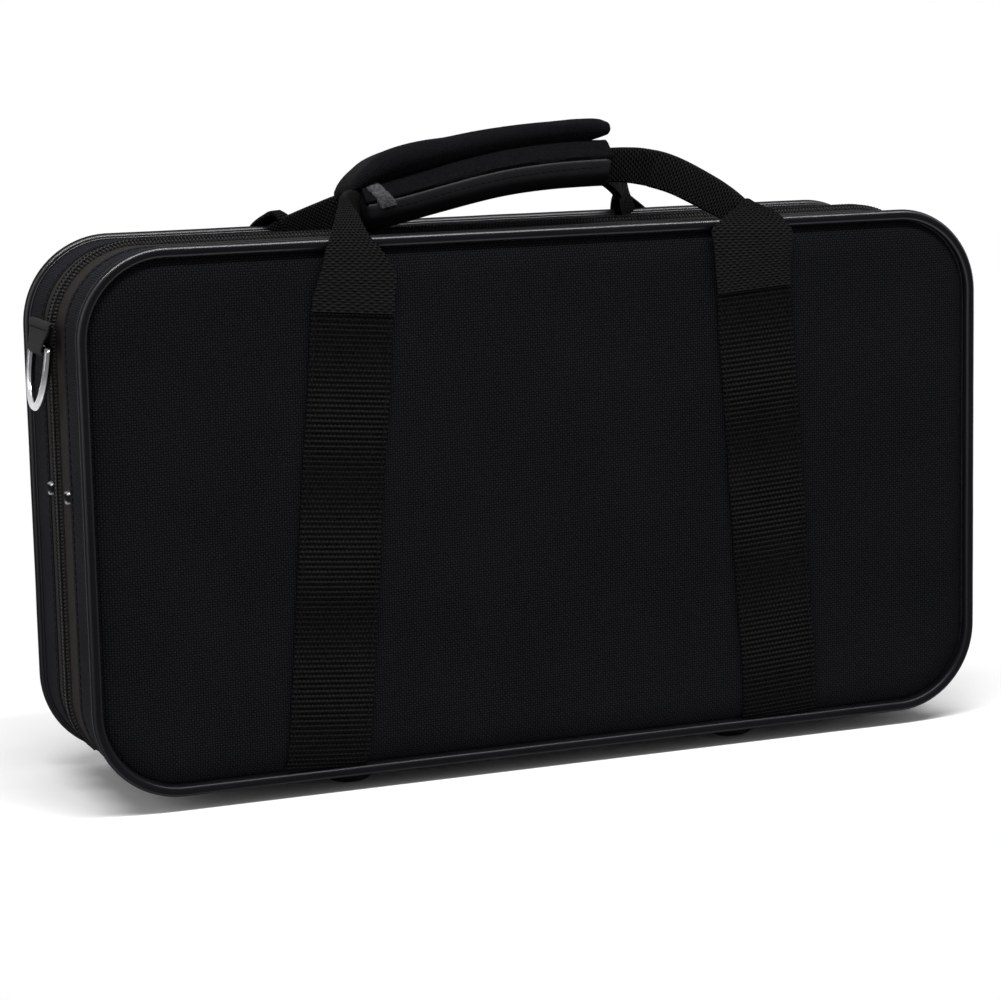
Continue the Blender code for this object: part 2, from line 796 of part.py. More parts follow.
# D-rings and their webbing tabs, sewn to the rear half and reaching over the zip.
eye_level = stand + rim_height - tab_eye_drop
tab_near = coil_top + seat_gap
eye_out = tab_near + tab_layer + seat_gap + ring_wire


def ring_path():
    """The D's middle line: level bar on top, legs, and a half oval below."""
    half = ring_width / 2
    inner = half - ring_corner
    points = []
    for k in range(bar_steps + 1):
        angle = math.pi / 2 * k / bar_steps
        drop = ring_corner * (math.cos(angle) - 1)
        points.append((inner + ring_corner * math.sin(angle), drop))
    for k in range(2 * corner_steps + 1):
        angle = math.pi * k / (2 * corner_steps)
        points.append((half * math.cos(angle), -ring_leg - (ring_drop - ring_leg) * math.sin(angle)))
    for k in range(bar_steps + 1):
        angle = math.pi / 2 * (1 - k / bar_steps)
        drop = ring_corner * (math.cos(angle) - 1)
        points.append((-inner - ring_corner * math.sin(angle), drop))
    return points


def d_ring(name, end):
    """A wire D that hangs from its bar, its foot a little away from the wall."""
    path = ring_path()
    count = len(path)
    pivot = end_point(end, eye_out, 0.0, eye_level)
    upward = Vector((-end * math.sin(ring_lean), 0.0, math.cos(ring_lean)))
    outward = Vector((end * math.cos(ring_lean), 0.0, math.sin(ring_lean)))
    rows = []
    for k, (y, z) in enumerate(path):
        before, after = path[k - 1], path[(k + 1) % count]
        ahead = Vector((0.0, after[0] - before[0], 0.0)) + (after[1] - before[1]) * upward
        beside = ahead.normalized().cross(outward)
        spot = pivot + Vector((0.0, y, 0.0)) + z * upward
        turns = [math.tau * j / ring_sides for j in range(ring_sides)]
        rows.append([
            spot + ring_wire * (math.cos(a) * outward + math.sin(a) * beside) for a in turns
        ])
    skin(name, rows, chrome, looped=True, pivot=pivot)


def ring_tab(name, end):
    """Doubled webbing, widest at its sewn top, with an eye for the ring's bar."""
    eye = ring_wire + seat_gap
    bar_room = ring_width / 2 - ring_wire - seat_gap
    round_out = eye_out + eye + tab_layer
    sewn_out = tab_near + 2 * tab_layer + seat_gap
    stations = (
        (eye_level - eye - tab_layer, bar_room - seat_gap, eye_out - eye / 2, eye_out + eye / 2),
        (eye_level - eye, bar_room, tab_near, round_out - seat_gap),
        (eye_level, bar_room, tab_near, round_out),
        (eye_level + eye, bar_room, tab_near, round_out - seat_gap),
        (eye_level + eye + 3 * tab_layer, tab_shoulder, tab_near, sewn_out + tab_layer),
        (eye_level + tab_height, webbing_width / 2 - seat_gap, tab_near, sewn_out),
    )
    rows = []
    for z, half, near, far in stations:
        rows.append([
            end_point(end, near, -half, z), end_point(end, near, half, z),
            end_point(end, far, half, z), end_point(end, far, -half, z),
        ])
    tab = skin(name, rows, webbing)
    low = end_point(end, tape_rise + seat_gap, coil_width + seat_gap, eye_level + eye)
    high = end_point(end, tab_near + tab_layer, tab_shoulder, eye_level + tab_height)
    foot = block(
        "join_" + name,
        (min(low.x, high.x), low.y, low.z), (max(low.x, high.x), high.y, high.z - seat_gap),
    )
    combine(tab, foot, "UNION")
    bore = rod(
        "cut_" + name,
        end_point(end, eye_out, -webbing_width, eye_level),
        end_point(end, eye_out, webbing_width, eye_level), eye, round_sides,
    )
    combine(tab, bore, "DIFFERENCE")


for end, where in ((-1, "left"), (1, "right")):
    d_ring("d_ring_" + where, end)
    ring_tab("ring_tab_" + where, end)


# Zip slider at the foot of the right end, and its pull.
slide_near = coil_top + seat_gap
slide_far = slide_near + slider_plate
pull_out = slide_far + bridge_height / 2
slider_rows = []
slider_shares = ((-0.5, 0.62), (-0.42, 0.86), (-0.2, 1.0), (0.2, 1.0), (0.42, 0.8), (0.5, 0.55))
for share, wide in slider_shares:
    z = slider_level + share * slider_length
    half = wide * slider_width / 2
    slider_rows.append([
        end_point(1, slide_near, -half, z), end_point(1, slide_near, half, z),
        end_point(1, slide_far, half, z), end_point(1, slide_far, -half, z),
    ])
slider = skin("zip_slider", slider_rows, dark_metal)
lip_near = coil_width + seat_gap
lip_out, bridge_out = slide_near + slider_plate / 2, slide_far + bridge_height
lip_low = end_point(1, tape_rise + seat_gap, lip_near, slider_level - lip_length / 2)
lip_high = end_point(1, lip_out, lip_near + slider_lip, slider_level + lip_length / 2)
combine(slider, block("join_lip", lip_low, lip_high), "UNION")
bridge_low = end_point(1, lip_out, -bridge_width / 2, slider_level - bridge_length / 2)
bridge_high = end_point(1, bridge_out, bridge_width / 2, slider_level + bridge_length / 2)
combine(slider, block("join_bridge", bridge_low, bridge_high), "UNION")
bridge_cut = rod(
    "cut_bridge",
    end_point(1, pull_out, -slider_width, slider_level),
    end_point(1, pull_out, slider_width, slider_level), bridge_bore, round_sides,
)
combine(slider, bridge_cut, "DIFFERENCE")

pull_pivot = end_point(1, pull_out, 0.0, slider_level)
bar = pull_thickness / 2
pull_shares = ((0.5, 0.0), (0.5, 0.55), (0.62, 0.80), (0.45, 1.0))
edge = [(pull_width * across, bar - pull_length * down) for across, down in pull_shares]
outline = edge + [(-y, z) for y, z in reversed(edge)]
rows = [
    [pull_pivot + Vector((out, y, z)) for y, z in outline] for out in (-bar, bar)
]
pull = skin("zip_pull", rows, dark_metal, pivot=pull_pivot)
slot_half = bridge_width / 2 + 2 * seat_gap
slot = block(
    "cut_pull",
    pull_pivot + Vector((-pull_thickness, -slot_half, -bar - pull_slot_length)),
    pull_pivot + Vector((pull_thickness, slot_half, -bar)),
)
combine(pull, slot, "DIFFERENCE")
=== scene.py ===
"""Looks of the soft clarinet case: cloths, cords, webbing, grip, fittings and lining are
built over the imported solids, in metres, with +Z up and the lid's face towards -Y."""

import math

import bmesh
import bpy
import numpy as np
from mathutils import Matrix, Vector


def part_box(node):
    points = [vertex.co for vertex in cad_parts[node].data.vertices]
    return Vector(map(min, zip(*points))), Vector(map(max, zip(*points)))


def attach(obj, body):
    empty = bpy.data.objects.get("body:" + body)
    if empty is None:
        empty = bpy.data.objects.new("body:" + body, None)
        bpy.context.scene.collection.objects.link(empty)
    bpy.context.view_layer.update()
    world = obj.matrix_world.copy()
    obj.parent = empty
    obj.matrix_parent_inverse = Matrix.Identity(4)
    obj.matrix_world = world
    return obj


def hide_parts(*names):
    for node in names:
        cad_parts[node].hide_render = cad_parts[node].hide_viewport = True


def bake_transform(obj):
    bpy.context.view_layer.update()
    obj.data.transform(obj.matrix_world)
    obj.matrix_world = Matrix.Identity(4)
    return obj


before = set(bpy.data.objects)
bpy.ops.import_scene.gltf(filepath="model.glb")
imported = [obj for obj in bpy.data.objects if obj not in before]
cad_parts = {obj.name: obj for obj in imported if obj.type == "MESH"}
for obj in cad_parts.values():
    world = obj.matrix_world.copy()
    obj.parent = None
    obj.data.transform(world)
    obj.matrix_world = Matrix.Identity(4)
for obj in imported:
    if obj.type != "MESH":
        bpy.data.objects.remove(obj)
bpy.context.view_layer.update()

# Board cores. Stiff foam board, cut and bent into two shallow trays that everything else is
# sewn or glued to. The board shows only as the grey edge of each tray, so the solids stay.


class Reading:
    """A value on a surface. Sums, products and the like on it add Math nodes."""

    def __init__(self, finish, socket):
        self.finish = finish
        self.socket = socket

    def worked(self, operation, *values):
        return self.finish.node("ShaderNodeMath", {"operation": operation}, dict(enumerate(values)))

    def __add__(self, other):
        return self.worked("ADD", self, other)

    def __radd__(self, other):
        return self.worked("ADD", other, self)

    def __sub__(self, other):
        return self.worked("SUBTRACT", self, other)

    def __rsub__(self, other):
        return self.worked("SUBTRACT", other, self)

    def __mul__(self, other):
        return self.worked("MULTIPLY", self, other)

    def __rmul__(self, other):
        return self.worked("MULTIPLY", other, self)

    def __gt__(self, other):
        return self.worked("GREATER_THAN", self, other)

    def wave(self, pitch):
        return (self * (math.tau / pitch)).worked_alone("SINE")

    def size(self):
        return self.worked_alone("ABSOLUTE")

    def at_least(self, least):
        return self.worked("MAXIMUM", self, least)

    def worked_alone(self, operation):
        return self.worked(operation, self)

    def held(self, low, high):
        """The value carried from low..high to 0..1, and held there."""
        settings = {"clamp": True}
        return self.finish.node("ShaderNodeMapRange", settings, {0: self, 1: low, 2: high})


class Finish:
    """One surface finish: its shader, and one way to add any node to it."""

    def __init__(self, name, roughness, shine, fuzz=0.0, metal=0.0):
        self.material = bpy.data.materials.new(name)
        self.material.use_nodes = True
        self.tree = self.material.node_tree
        self.shader = self.tree.nodes["Principled BSDF"]
        self.shader.inputs["Roughness"].default_value = roughness
        self.shader.inputs["Specular IOR Level"].default_value = shine
        self.shader.inputs["Sheen Weight"].default_value = fuzz
        self.shader.inputs["Metallic"].default_value = metal

    def feed(self, socket, value):
        if isinstance(value, Reading):
            self.tree.links.new(value.socket, socket)
        else:
            socket.default_value = value

    def node(self, kind, settings=None, values=None, out=0):
        made = self.tree.nodes.new(kind)
        for key, value in (settings or {}).items():
            setattr(made, key, value)
        for key, value in (values or {}).items():
            self.feed(made.inputs[key], value)
        return Reading(self, made.outputs[out])

    def place(self):
        """Across, depth and height of a point on the piece, in metres."""
        spot = self.node("ShaderNodeTexCoord", out=3)
        return [self.node("ShaderNodeSeparateXYZ", None, {0: spot}, out=k) for k in range(3)]

    def cloth_map(self):
        """Lengths across and along a strip of cloth, in metres."""
        spot = self.node("ShaderNodeUVMap", {"uv_map": "Weave"})
        return [self.node("ShaderNodeSeparateXYZ", None, {0: spot}, out=k) for k in range(2)]

    def grain(self, size, detail=3.0, rough=0.6):
        """A soft random value from 0 to 1 that changes over a size in metres."""
        spot = self.node("ShaderNodeTexCoord", out=3)
        values = {"Vector": spot, "Scale": 1 / size, "Detail": detail, "Roughness": rough}
        return self.node("ShaderNodeTexNoise", {"noise_dimensions": "3D"}, values)

    def blend(self, share, low, high):
        """A colour between two."""
        values = {0: share, 6: self.tint(low), 7: self.tint(high)}
        return self.node("ShaderNodeMix", {"data_type": "RGBA"}, values, out=2)

    def tint(self, colour):
        return colour if isinstance(colour, Reading) else (*colour, 1.0)

    def coat(self, colour, height=None, depth=0.0002, strength=1.0, rough=None):
        """Give the shader its colour, its relief and its changing gloss."""
        self.feed(self.shader.inputs["Base Color"], self.tint(colour))
        if height is not None:
            values = {"Height": height, "Distance": depth, "Strength": strength}
            self.feed(self.shader.inputs["Normal"], self.node("ShaderNodeBump", None, values))
        if rough is not None:
            self.feed(self.shader.inputs["Roughness"], rough)


foam_board = Finish("foam_board", 0.9, 0.2)
cells = foam_board.grain(0.0012, 4.0, 0.7)
board_colour = foam_board.blend(cells, (0.030, 0.030, 0.032), (0.070, 0.069, 0.068))
foam_board.coat(board_colour, cells, 0.0003, 0.5, 0.8 + cells * 0.15)


def dress(node, finish):
    """Give a solid that stays its finish."""
    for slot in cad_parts[node].material_slots:
        slot.material = finish.material


dress("lid_shell_core", foam_board)
dress("rear_shell_core", foam_board)


# Face cloths. Heavy basket-woven polyester, glued over the board with a soft crown and turned
# into the corded seam all round. The weave reads as small squares set corner to corner.
rim_width = 0.390
rim_height = 0.213
rim_radius = 0.034
rim_spacing = 0.087
piping_radius = 0.0023
stand = 0.008
seat_gap = 0.0003
board_depth = rim_spacing / 2 - piping_radius - seat_gap
rim_middle = stand + rim_height / 2
panel_start = piping_radius + seat_gap
crown = 0.0036
crown_run = 0.011
cloth = 0.001
face_depth = board_depth + seat_gap + cloth
slack = 0.0002
slack_run = 0.012
slack_size = 0.09
basket_across = 0.00205
basket_up = 0.0020
thread_pitch = 0.00041
halves = (("lid", -1, "lid"), ("rear", 1, "rear_half"))


def drift(points, size, seed):
    """A wandering value near -1 to 1 over places, the same on each run."""
    pick = np.random.RandomState(seed)
    total = 0.0
    for _ in range(7):
        way = pick.normal(size=3)
        way *= math.tau / (np.linalg.norm(way) * size * pick.uniform(0.6, 1.6))
        total = total + np.sin(points @ way + pick.uniform(0, math.tau))
    return total / 4.0


def mesh_piece(name, points, faces, lengths, finish):
    """A smooth piece from points and faces, with a map of its real lengths for the weave."""
    mesh = bpy.data.meshes.new(name)
    mesh.from_pydata([tuple(p) for p in points], [], faces)
    if lengths is not None:
        layer = mesh.uv_layers.new(name="Weave")
        layer.data.foreach_set("uv", np.array(lengths, float).ravel())
    mesh.shade_smooth()
    mesh.set_sharp_from_angle(angle=math.radians(50))
    mesh.materials.append(finish.material)
    thing = bpy.data.objects.new(name, mesh)
    bpy.context.scene.collection.objects.link(thing)
    return thing


def fitted(thing, body, slot, *nodes):
    """Fix a piece on its body and hide the solids that it stands for. The slot is not used."""
    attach(thing, body)
    if nodes:
        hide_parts(*nodes)


def crown_height(inset):
    """How far a face has risen at a distance in from its edge."""
    share = np.clip((inset - panel_start) / crown_run, 0.0, 1.0)
    return crown * np.interp(share, (0.0, 0.18, 0.35, 0.7, 1.0), (0.0, 0.35, 0.60, 0.90, 1.0))


def edge_lines(half):
    """Where the lines of a face fall: close at its edge, where it curves, wider within."""
    near = (0.0, 0.0003, 0.0008, 0.0015, 0.0025, 0.0036, 0.005, 0.007, 0.009, 0.011, 0.0135)
    inner = np.linspace(0.017, half, max(int(half / 0.0035), 2))
    insets = np.concatenate([near, inner])
    shares = 1 - insets / half
    return np.concatenate([-shares, shares[::-1][1:]])


def turned_edge(share, straight, radius):
    """Along one side of a round-cornered sheet: how far along, and how far round the corner."""
    reach = abs(share) * (straight + radius * math.pi / 4)
    if reach <= straight:
        return math.copysign(reach, share), 0.0
    angle = (reach - straight) / radius
    return math.copysign(straight + radius * math.sin(angle), share), radius * (1 - math.cos(angle))


def round_sheet(width, height, radius):
    """A grid that fills a round-cornered sheet: places, and how far each is from the edge."""
    across, up = width / 2 - radius, height / 2 - radius
    grid = []
    for v in edge_lines(height / 2):
        for u in edge_lines(width / 2):
            ring = max(abs(u), abs(v))
            if ring == 0:
                grid.append((0.0, 0.0))
            elif abs(u) >= abs(v):
                along, back = turned_edge(v / ring, up, radius)
                grid.append((math.copysign(width / 2 - back, u) * ring, along * ring))
            else:
                along, back = turned_edge(u / ring, across, radius)
                grid.append((along * ring, math.copysign(height / 2 - back, v) * ring))
    grid = np.array(grid)
    beyond = np.abs(grid) - (across, up)
    outside = np.linalg.norm(np.maximum(beyond, 0), axis=1)
    inset = radius - outside - np.minimum(beyond.max(axis=1), 0)
    return grid, inset, len(edge_lines(width / 2)), len(edge_lines(height / 2))


def grid_faces(wide, tall, flipped=False):
    """Four-cornered faces over a grid of points."""
    k = (np.arange(tall - 1)[:, None] * wide + np.arange(wide - 1)[None, :]).ravel()
    faces = np.stack([k, k + 1, k + 1 + wide, k + wide], axis=1)
    return (faces[:, ::-1] if flipped else faces).tolist()


def faced(name, side, width, height):
    """One crowned sheet over a half shell, out to the seam of its cord."""
    grid, within, wide, tall = round_sheet(width, height, rim_radius - panel_start)
    depth = face_depth + crown_height(within + panel_start)
    spots = np.stack([grid[:, 0], side * depth, rim_middle + grid[:, 1]], axis=1)
    give = np.clip(within / slack_run, 0, 1)
    spots[:, 1] += slack * give * drift(spots, slack_size, 11 + side)
    faces = grid_faces(wide, tall, side > 0)
    lengths = spots[np.array(faces).ravel()][:, [0, 2]]
    return mesh_piece(name, spots, faces, lengths, face_cloth)


def baskets(finish, across, up):
    """Relief of a basket weave: squares of threads that run by turns across and up."""
    squares = across.wave(basket_across) * up.wave(basket_up)
    over = squares > 0.0
    threads = over * across.wave(thread_pitch) + (1 - over) * up.wave(thread_pitch)
    slub = finish.grain(0.0011, 2.0, 0.5)
    return squares.size() * 0.9 + threads * 0.16 + slub * 0.5 + over * 0.35


face_cloth = Finish("face_cloth", 0.75, 0.012)
weave_x, _, weave_z = face_cloth.place()
relief = baskets(face_cloth, weave_x, weave_z)
pile = face_cloth.grain(0.05, 2.0, 0.5)
cloth_colour = face_cloth.blend(
    relief.held(0.3, 1.7) * 0.8 + pile * 0.2, (0.0006, 0.0007, 0.0010), (0.0122, 0.0126, 0.0150)
)
face_cloth.coat(cloth_colour, relief, 0.00028, 1.0, 0.86 - relief.held(0.3, 1.9) * 0.2)

flat = (rim_width - 2 * panel_start, rim_height - 2 * panel_start)
for prefix, side, body in halves:
    thing = faced(prefix + "_face", side, *flat)
    fitted(thing, body, "face_cloth", prefix + "_face_cloth")


# Side cloths. A strip of the same cloth in a plainer weave wraps each tray's edge from the cord
# to the zip, turned under and sewn down along its hem with one row of stitches.
hem_edge = 0.017
hem_seam = 0.0196
hem_pitch = 0.0032
side_slack = 0.00018
side_slack_size = 0.05
rim_step = 0.003
sides_straight = rim_height - 2 * rim_radius
top_straight = rim_width - 2 * rim_radius
quarter = rim_radius * math.pi / 2
# Runs of the outline from the middle of the low right corner, anticlockwise.
outline_runs = [
    ("turn", 1, -1, -0.5, 0.5), ("line", 1, 0, sides_straight, 0), ("turn", 1, 1, 0, 1),
    ("line", 0, 1, top_straight, 0), ("turn", -1, 1, 1, 1), ("line", -1, 0, sides_straight, 0),
    ("turn", -1, -1, 2, 1), ("line", 0, -1, top_straight, 0), ("turn", 1, -1, 3, 0.5),
]
zip_run = 3 * quarter + 2 * sides_straight + top_straight
whole_run = 4 * quarter + 2 * sides_straight + 2 * top_straight


def edge_at(length):
    """The outline's place and outward direction, by length run along it."""
    length = length % whole_run
    for kind, sx, sz, amount, span in outline_runs:
        run = span * quarter if kind == "turn" else amount
        if length > run:
            length -= run
            continue
        if kind == "turn":
            angle = math.pi / 2 * amount + length / rim_radius
            out = np.array([math.cos(angle), math.sin(angle)])
            middle = np.array([sx * top_straight / 2, sz * sides_straight / 2])
            return middle + rim_radius * out, out
        out = np.array([float(sx), float(sz)])
        way = np.array([-out[1], out[0]])
        return out * (rim_width / 2, rim_height / 2) + way * (length - run / 2), out
    return edge_at(0.0)


def rim_spots(lengths):
    """Places and outward directions in space along the outline, on the parting plane."""
    found = [edge_at(s) for s in lengths]
    spots = np.array([(p[0], 0.0, rim_middle + p[1]) for p, _ in found])
    outs = np.array([(o[0], 0.0, o[1]) for _, o in found])
    return spots, outs


def turned_out(thing):
    """Make the faces of a closed piece look outwards."""
    turned = bmesh.new()
    turned.from_mesh(thing.data)
    bmesh.ops.recalc_face_normals(turned, faces=turned.faces[:])
    turned.to_mesh(thing.data)
    turned.free()
    return thing


def banded(spots, outs, side, section, sway, loose):
    """Rows of a band along the outline, which wanders between the two depths in loose."""
    return [
        [
            spot - out * (inset + (bulge if loose[0] < depth < loose[1] else 0.0))
            + (0.0, side * depth, 0.0)
            for inset, depth in section
        ]
        for spot, out, bulge in zip(spots, outs, sway)
    ]


def skin(name, rows, finish, looped=False):
    """A closed piece through rings of points, capped at its ends or looped into itself."""
    rows = np.array(rows, float)
    count, ring = rows.shape[:2]
    closed = np.concatenate([rows, rows[:, :1]], axis=1)
    steps = np.linalg.norm(np.diff(closed, axis=1), axis=2).mean(axis=0)
    across = np.concatenate([[0.0], np.cumsum(steps)])
    chain = np.concatenate([rows, rows[:1]]) if looped else rows
    along = np.linalg.norm(np.diff(chain, axis=0), axis=2).mean(axis=1)
    along = np.concatenate([[0.0], np.cumsum(along)])
    faces, lengths = [], []
    for k in range(count if looped else count - 1):
        m = (k + 1) % count
        for i in range(ring):
            j = (i + 1) % ring
            faces.append((k * ring + i, k * ring + j, m * ring + j, m * ring + i))
            a, b, c, d = across[i], across[i + 1], along[k], along[k + 1]
            lengths += [(a, c), (b, c), (b, d), (a, d)]
    if not looped:
        faces.append(tuple(range(ring))[::-1])
        faces.append(tuple(range((count - 1) * ring, count * ring)))
        for end in (faces[-2], faces[-1]):
            lengths += [(across[i % ring], along[0 if end is faces[-2] else -1]) for i in end]
    return turned_out(mesh_piece(name, rows.reshape(-1, 3), faces, lengths, finish))


def repeated(name, spots, ways, rows, finish):
    """The same small closed form at many places: ways holds its three directions at each."""
    rows = np.array(rows, float)
    count, ring = rows.shape[:2]
    form = rows.reshape(-1, 3)
    points = (spots[:, None, :] + np.einsum("pk,nkd->npd", form, ways)).reshape(-1, 3)
    single = []
    for k in range(count - 1):
        for i in range(ring):
            j = (i + 1) % ring
            single.append((k * ring + i, k * ring + j, (k + 1) * ring + j, (k + 1) * ring + i))
    ends = [tuple(range(ring))[::-1], tuple(range((count - 1) * ring, count * ring))]
    faces = []
    for n in range(len(spots)):
        base = n * len(form)
        faces += [tuple(base + i for i in face) for face in single + ends]
    return turned_out(mesh_piece(name, points, faces, None, finish))


def round_angles(count, start=0.0):
    """Angles evenly round a circle, the first of them a share of a step on."""
    return [math.tau * (k + start) / count for k in range(count)]


thread = Finish("sewing_thread", 0.7, 0.02)
ply = thread.grain(0.0005, 2.0, 0.5)
thread.coat(thread.blend(ply, (0.0016, 0.0016, 0.0018), (0.0075, 0.0075, 0.0080)), ply, 0.0001, 0.6)
stitch_radius = 0.00026
# Along a stitch: share of its length, thickness and rise, in radii of the thread.
stitch_line = (
    (-0.42, 0.35, -0.6), (-0.34, 0.9, 0.1), (-0.12, 1.0, 0.5), (0.12, 1.0, 0.5), (0.34, 0.9, 0.1),
    (0.42, 0.35, -0.6),
)


def stitches(name, holes, lifts, body):
    """Thread through a line of needle holes: one short bead from each hole to the next."""
    holes, lifts = np.array(holes, float), np.array(lifts, float)
    ahead = holes[1:] - holes[:-1]
    length = np.linalg.norm(ahead, axis=1).mean()
    ahead /= np.linalg.norm(ahead, axis=1)[:, None]
    up = lifts[:-1] - (lifts[:-1] * ahead).sum(axis=1)[:, None] * ahead
    up /= np.linalg.norm(up, axis=1)[:, None]
    side = np.cross(ahead, up)
    rows = [
        [
            (
                share * length, stitch_radius * thick * math.cos(a),
                stitch_radius * (rise + thick * math.sin(a)),
            )
            for a in round_angles(6)
        ]
        for share, thick, rise in stitch_line
    ]
    middles = (holes[1:] + holes[:-1]) / 2
    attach(repeated(name, middles, np.stack([ahead, side, up], axis=1), rows, thread), body)


side_cloth = Finish("side_cloth", 0.7, 0.008)
strip_u, strip_v = side_cloth.cloth_map()
side_relief = baskets(side_cloth, strip_v, strip_u)
worn = side_cloth.grain(0.03, 3.0, 0.6)
side_colour = side_cloth.blend(
    side_relief.held(0.2, 1.8) * 0.7 + worn * 0.3, (0.0012, 0.0013, 0.0017), (0.0230, 0.0236, 0.0275)
)
side_cloth.coat(side_colour, side_relief, 0.00024, 1.0, 0.85 - side_relief.held(0.3, 1.9) * 0.2)

# Across the strip: how far in from the outline, and depth from the parting plane.
side_section = (
    (0.0009, board_depth), (0.0001, board_depth - 0.0001), (0.0, board_depth - 0.001),
    (-0.0001, 0.034), (-0.0003, 0.027), (-0.00045, 0.0215), (-0.0002, hem_seam),
    (-0.00035, 0.0186), (-0.0007, 0.0178), (-0.00062, 0.0172), (-0.0002, hem_edge),
    (0.0005, hem_edge), (0.0009, 0.018),
)
for prefix, side, body in halves:
    spots, outs = rim_spots(np.linspace(0, whole_run, int(whole_run / rim_step), endpoint=False))
    sway = drift(spots + (0, side, 0), side_slack_size, 31 + side) * side_slack
    rows = banded(spots, outs, side, side_section, sway, (0.02, 0.039))
    thing = skin(prefix + "_sides", rows, side_cloth, looped=True)
    fitted(thing, body, "side_cloth", prefix + "_side_cloth")
    spots, outs = rim_spots(np.linspace(0, whole_run, int(whole_run / hem_pitch)))
    holes = spots + outs * 0.00028 + (0.0, side * hem_seam, 0.0)
    stitches(prefix + "_hem_stitches", holes, outs, body)


# Piping. A cord wrapped in smooth vinyl, caught in the seam of face and side cloth; the turned
# flange of the vinyl shows as a finer ridge on the side cloth, next to the cord.
flange_radius = 0.0008
flange_depth = board_depth - 0.0006
cord_step = 0.0025
cord_sway = 0.00006
vinyl = Finish("piping_vinyl", 0.30, 0.02)
vinyl.shader.inputs["Coat Roughness"].default_value = 0.30
leather = vinyl.grain(0.0016, 4.0, 0.6)
smudge = vinyl.grain(0.04, 3.0, 0.6)
vinyl.coat(
    vinyl.blend(smudge, (0.0025, 0.0025, 0.0032), (0.0065, 0.0065, 0.0082)), leather, 0.00006, 0.3,
    0.27 + smudge * 0.08 + leather * 0.05,
)
# Painted highlight: the crown is taken as rubbed glossy, and the coat is put where the surface faces
# half way between the face and the side, where the strip lamp's reflection falls.
surface_way = vinyl.node("ShaderNodeTexCoord", out=1)
face_share = vinyl.node("ShaderNodeSeparateXYZ", None, {0: surface_way}, out=1).size()
off_crown = (face_share - 0.74).size()
# The painted highlight is kept weaker on the lower cords: the coat grows with height.
coat_by_height = vinyl.place()[2].held(0.03, 0.21) * 0.60 + 0.30
painted_highlight_coat = (1 - off_crown.held(0.03, 0.20)) * (coat_by_height - smudge * 0.2)
vinyl.feed(vinyl.shader.inputs["Coat Weight"], painted_highlight_coat)
for prefix, side, body in halves:
    spots, outs = rim_spots(np.linspace(0, whole_run, int(whole_run / cord_step), endpoint=False))
    sway = drift(spots, 0.03, 41 + side) * cord_sway
    for piece, radius, depth, nodes in (
        ("_cord", piping_radius, rim_spacing / 2, [prefix + "_piping"]),
        ("_flange", flange_radius, flange_depth, []),
    ):
        rows = [
            [
                spot - out * (radius + bulge) * math.cos(a)
                + (0.0, side * (depth + radius * math.sin(a)), 0.0)
                for a in round_angles(18)
            ]
            for spot, out, bulge in zip(spots, outs, sway)
        ]
        fitted(skin(prefix + piece, rows, vinyl, looped=True), body, "vinyl", *nodes)


# Zip tapes. Herringbone-woven tape on each half, from one foot of the case up an end, over the
# top and down the other end. Its outer edge is sewn under the hem of the side cloth.
tape_width = 0.0167
tape_step = 0.003
tape_sway = 0.00012
tape_cloth = Finish("zip_tape", 0.8, 0.008)
tape_u, tape_v = tape_cloth.cloth_map()
band = (tape_u.wave(0.0046) > 0.0) * 2.0 - 1.0
twill = (tape_v + tape_u * band).wave(0.0011)
fluff = tape_cloth.grain(0.0008, 2.0, 0.5)
tape_relief = twill * 0.5 + fluff * 0.6 + 0.5
tape_colour = tape_cloth.blend(
    tape_relief.held(0.1, 1.4), (0.0030, 0.0028, 0.0026), (0.0340, 0.0318, 0.0302)
)
tape_cloth.coat(tape_colour, tape_relief, 0.00012, 0.8, 0.88 - tape_relief.held(0.0, 1.4) * 0.16)

zip_lengths = np.linspace(0.0004, zip_run - 0.0004, int(zip_run / tape_step))
tape_section = (
    (-0.0001, 0.00015), (-0.0002, 0.001), (-0.0002, 0.0052), (-0.00005, 0.0085), (0.0, 0.012),
    (-0.0001, 0.0145), (-0.0001, tape_width), (0.001, tape_width), (0.001, 0.0005),
)
for prefix, side, body in halves:
    spots, outs = rim_spots(zip_lengths)
    sway = drift(spots, 0.04, 51 + side) * tape_sway
    rows = banded(spots, outs, side, tape_section, sway, (0.006, 0.014))
    fitted(skin(prefix + "_tape", rows, tape_cloth), body, "tape_cloth", prefix + "_zip_tape")


# Coil teeth. A nylon filament coiled along each tape edge and sewn down with two threads; the
# heads of one side sit between the heads of the other, along the whole closed run.
tooth_pitch = 0.00148
tooth_swell = 1.08
coil_margin = 0.001
thread_rise = 0.00205
run_out = 0.016
lowest = 0.35
nylon = Finish("zip_nylon", 0.42, 0.08)
molded = nylon.grain(0.002, 2.0, 0.5)
nylon.coat(
    nylon.blend(molded, (0.006, 0.006, 0.0065), (0.020, 0.020, 0.022)), molded, 0.00005, 0.4,
    0.34 + molded * 0.16,
)


def coil_rise(places):
    """The coil's height as a share of its full height: it runs out lower at both zip ends."""
    from_end = np.minimum(places, zip_run - places)
    return np.clip(lowest + (1 - lowest) * from_end / run_out, lowest, 1.0)


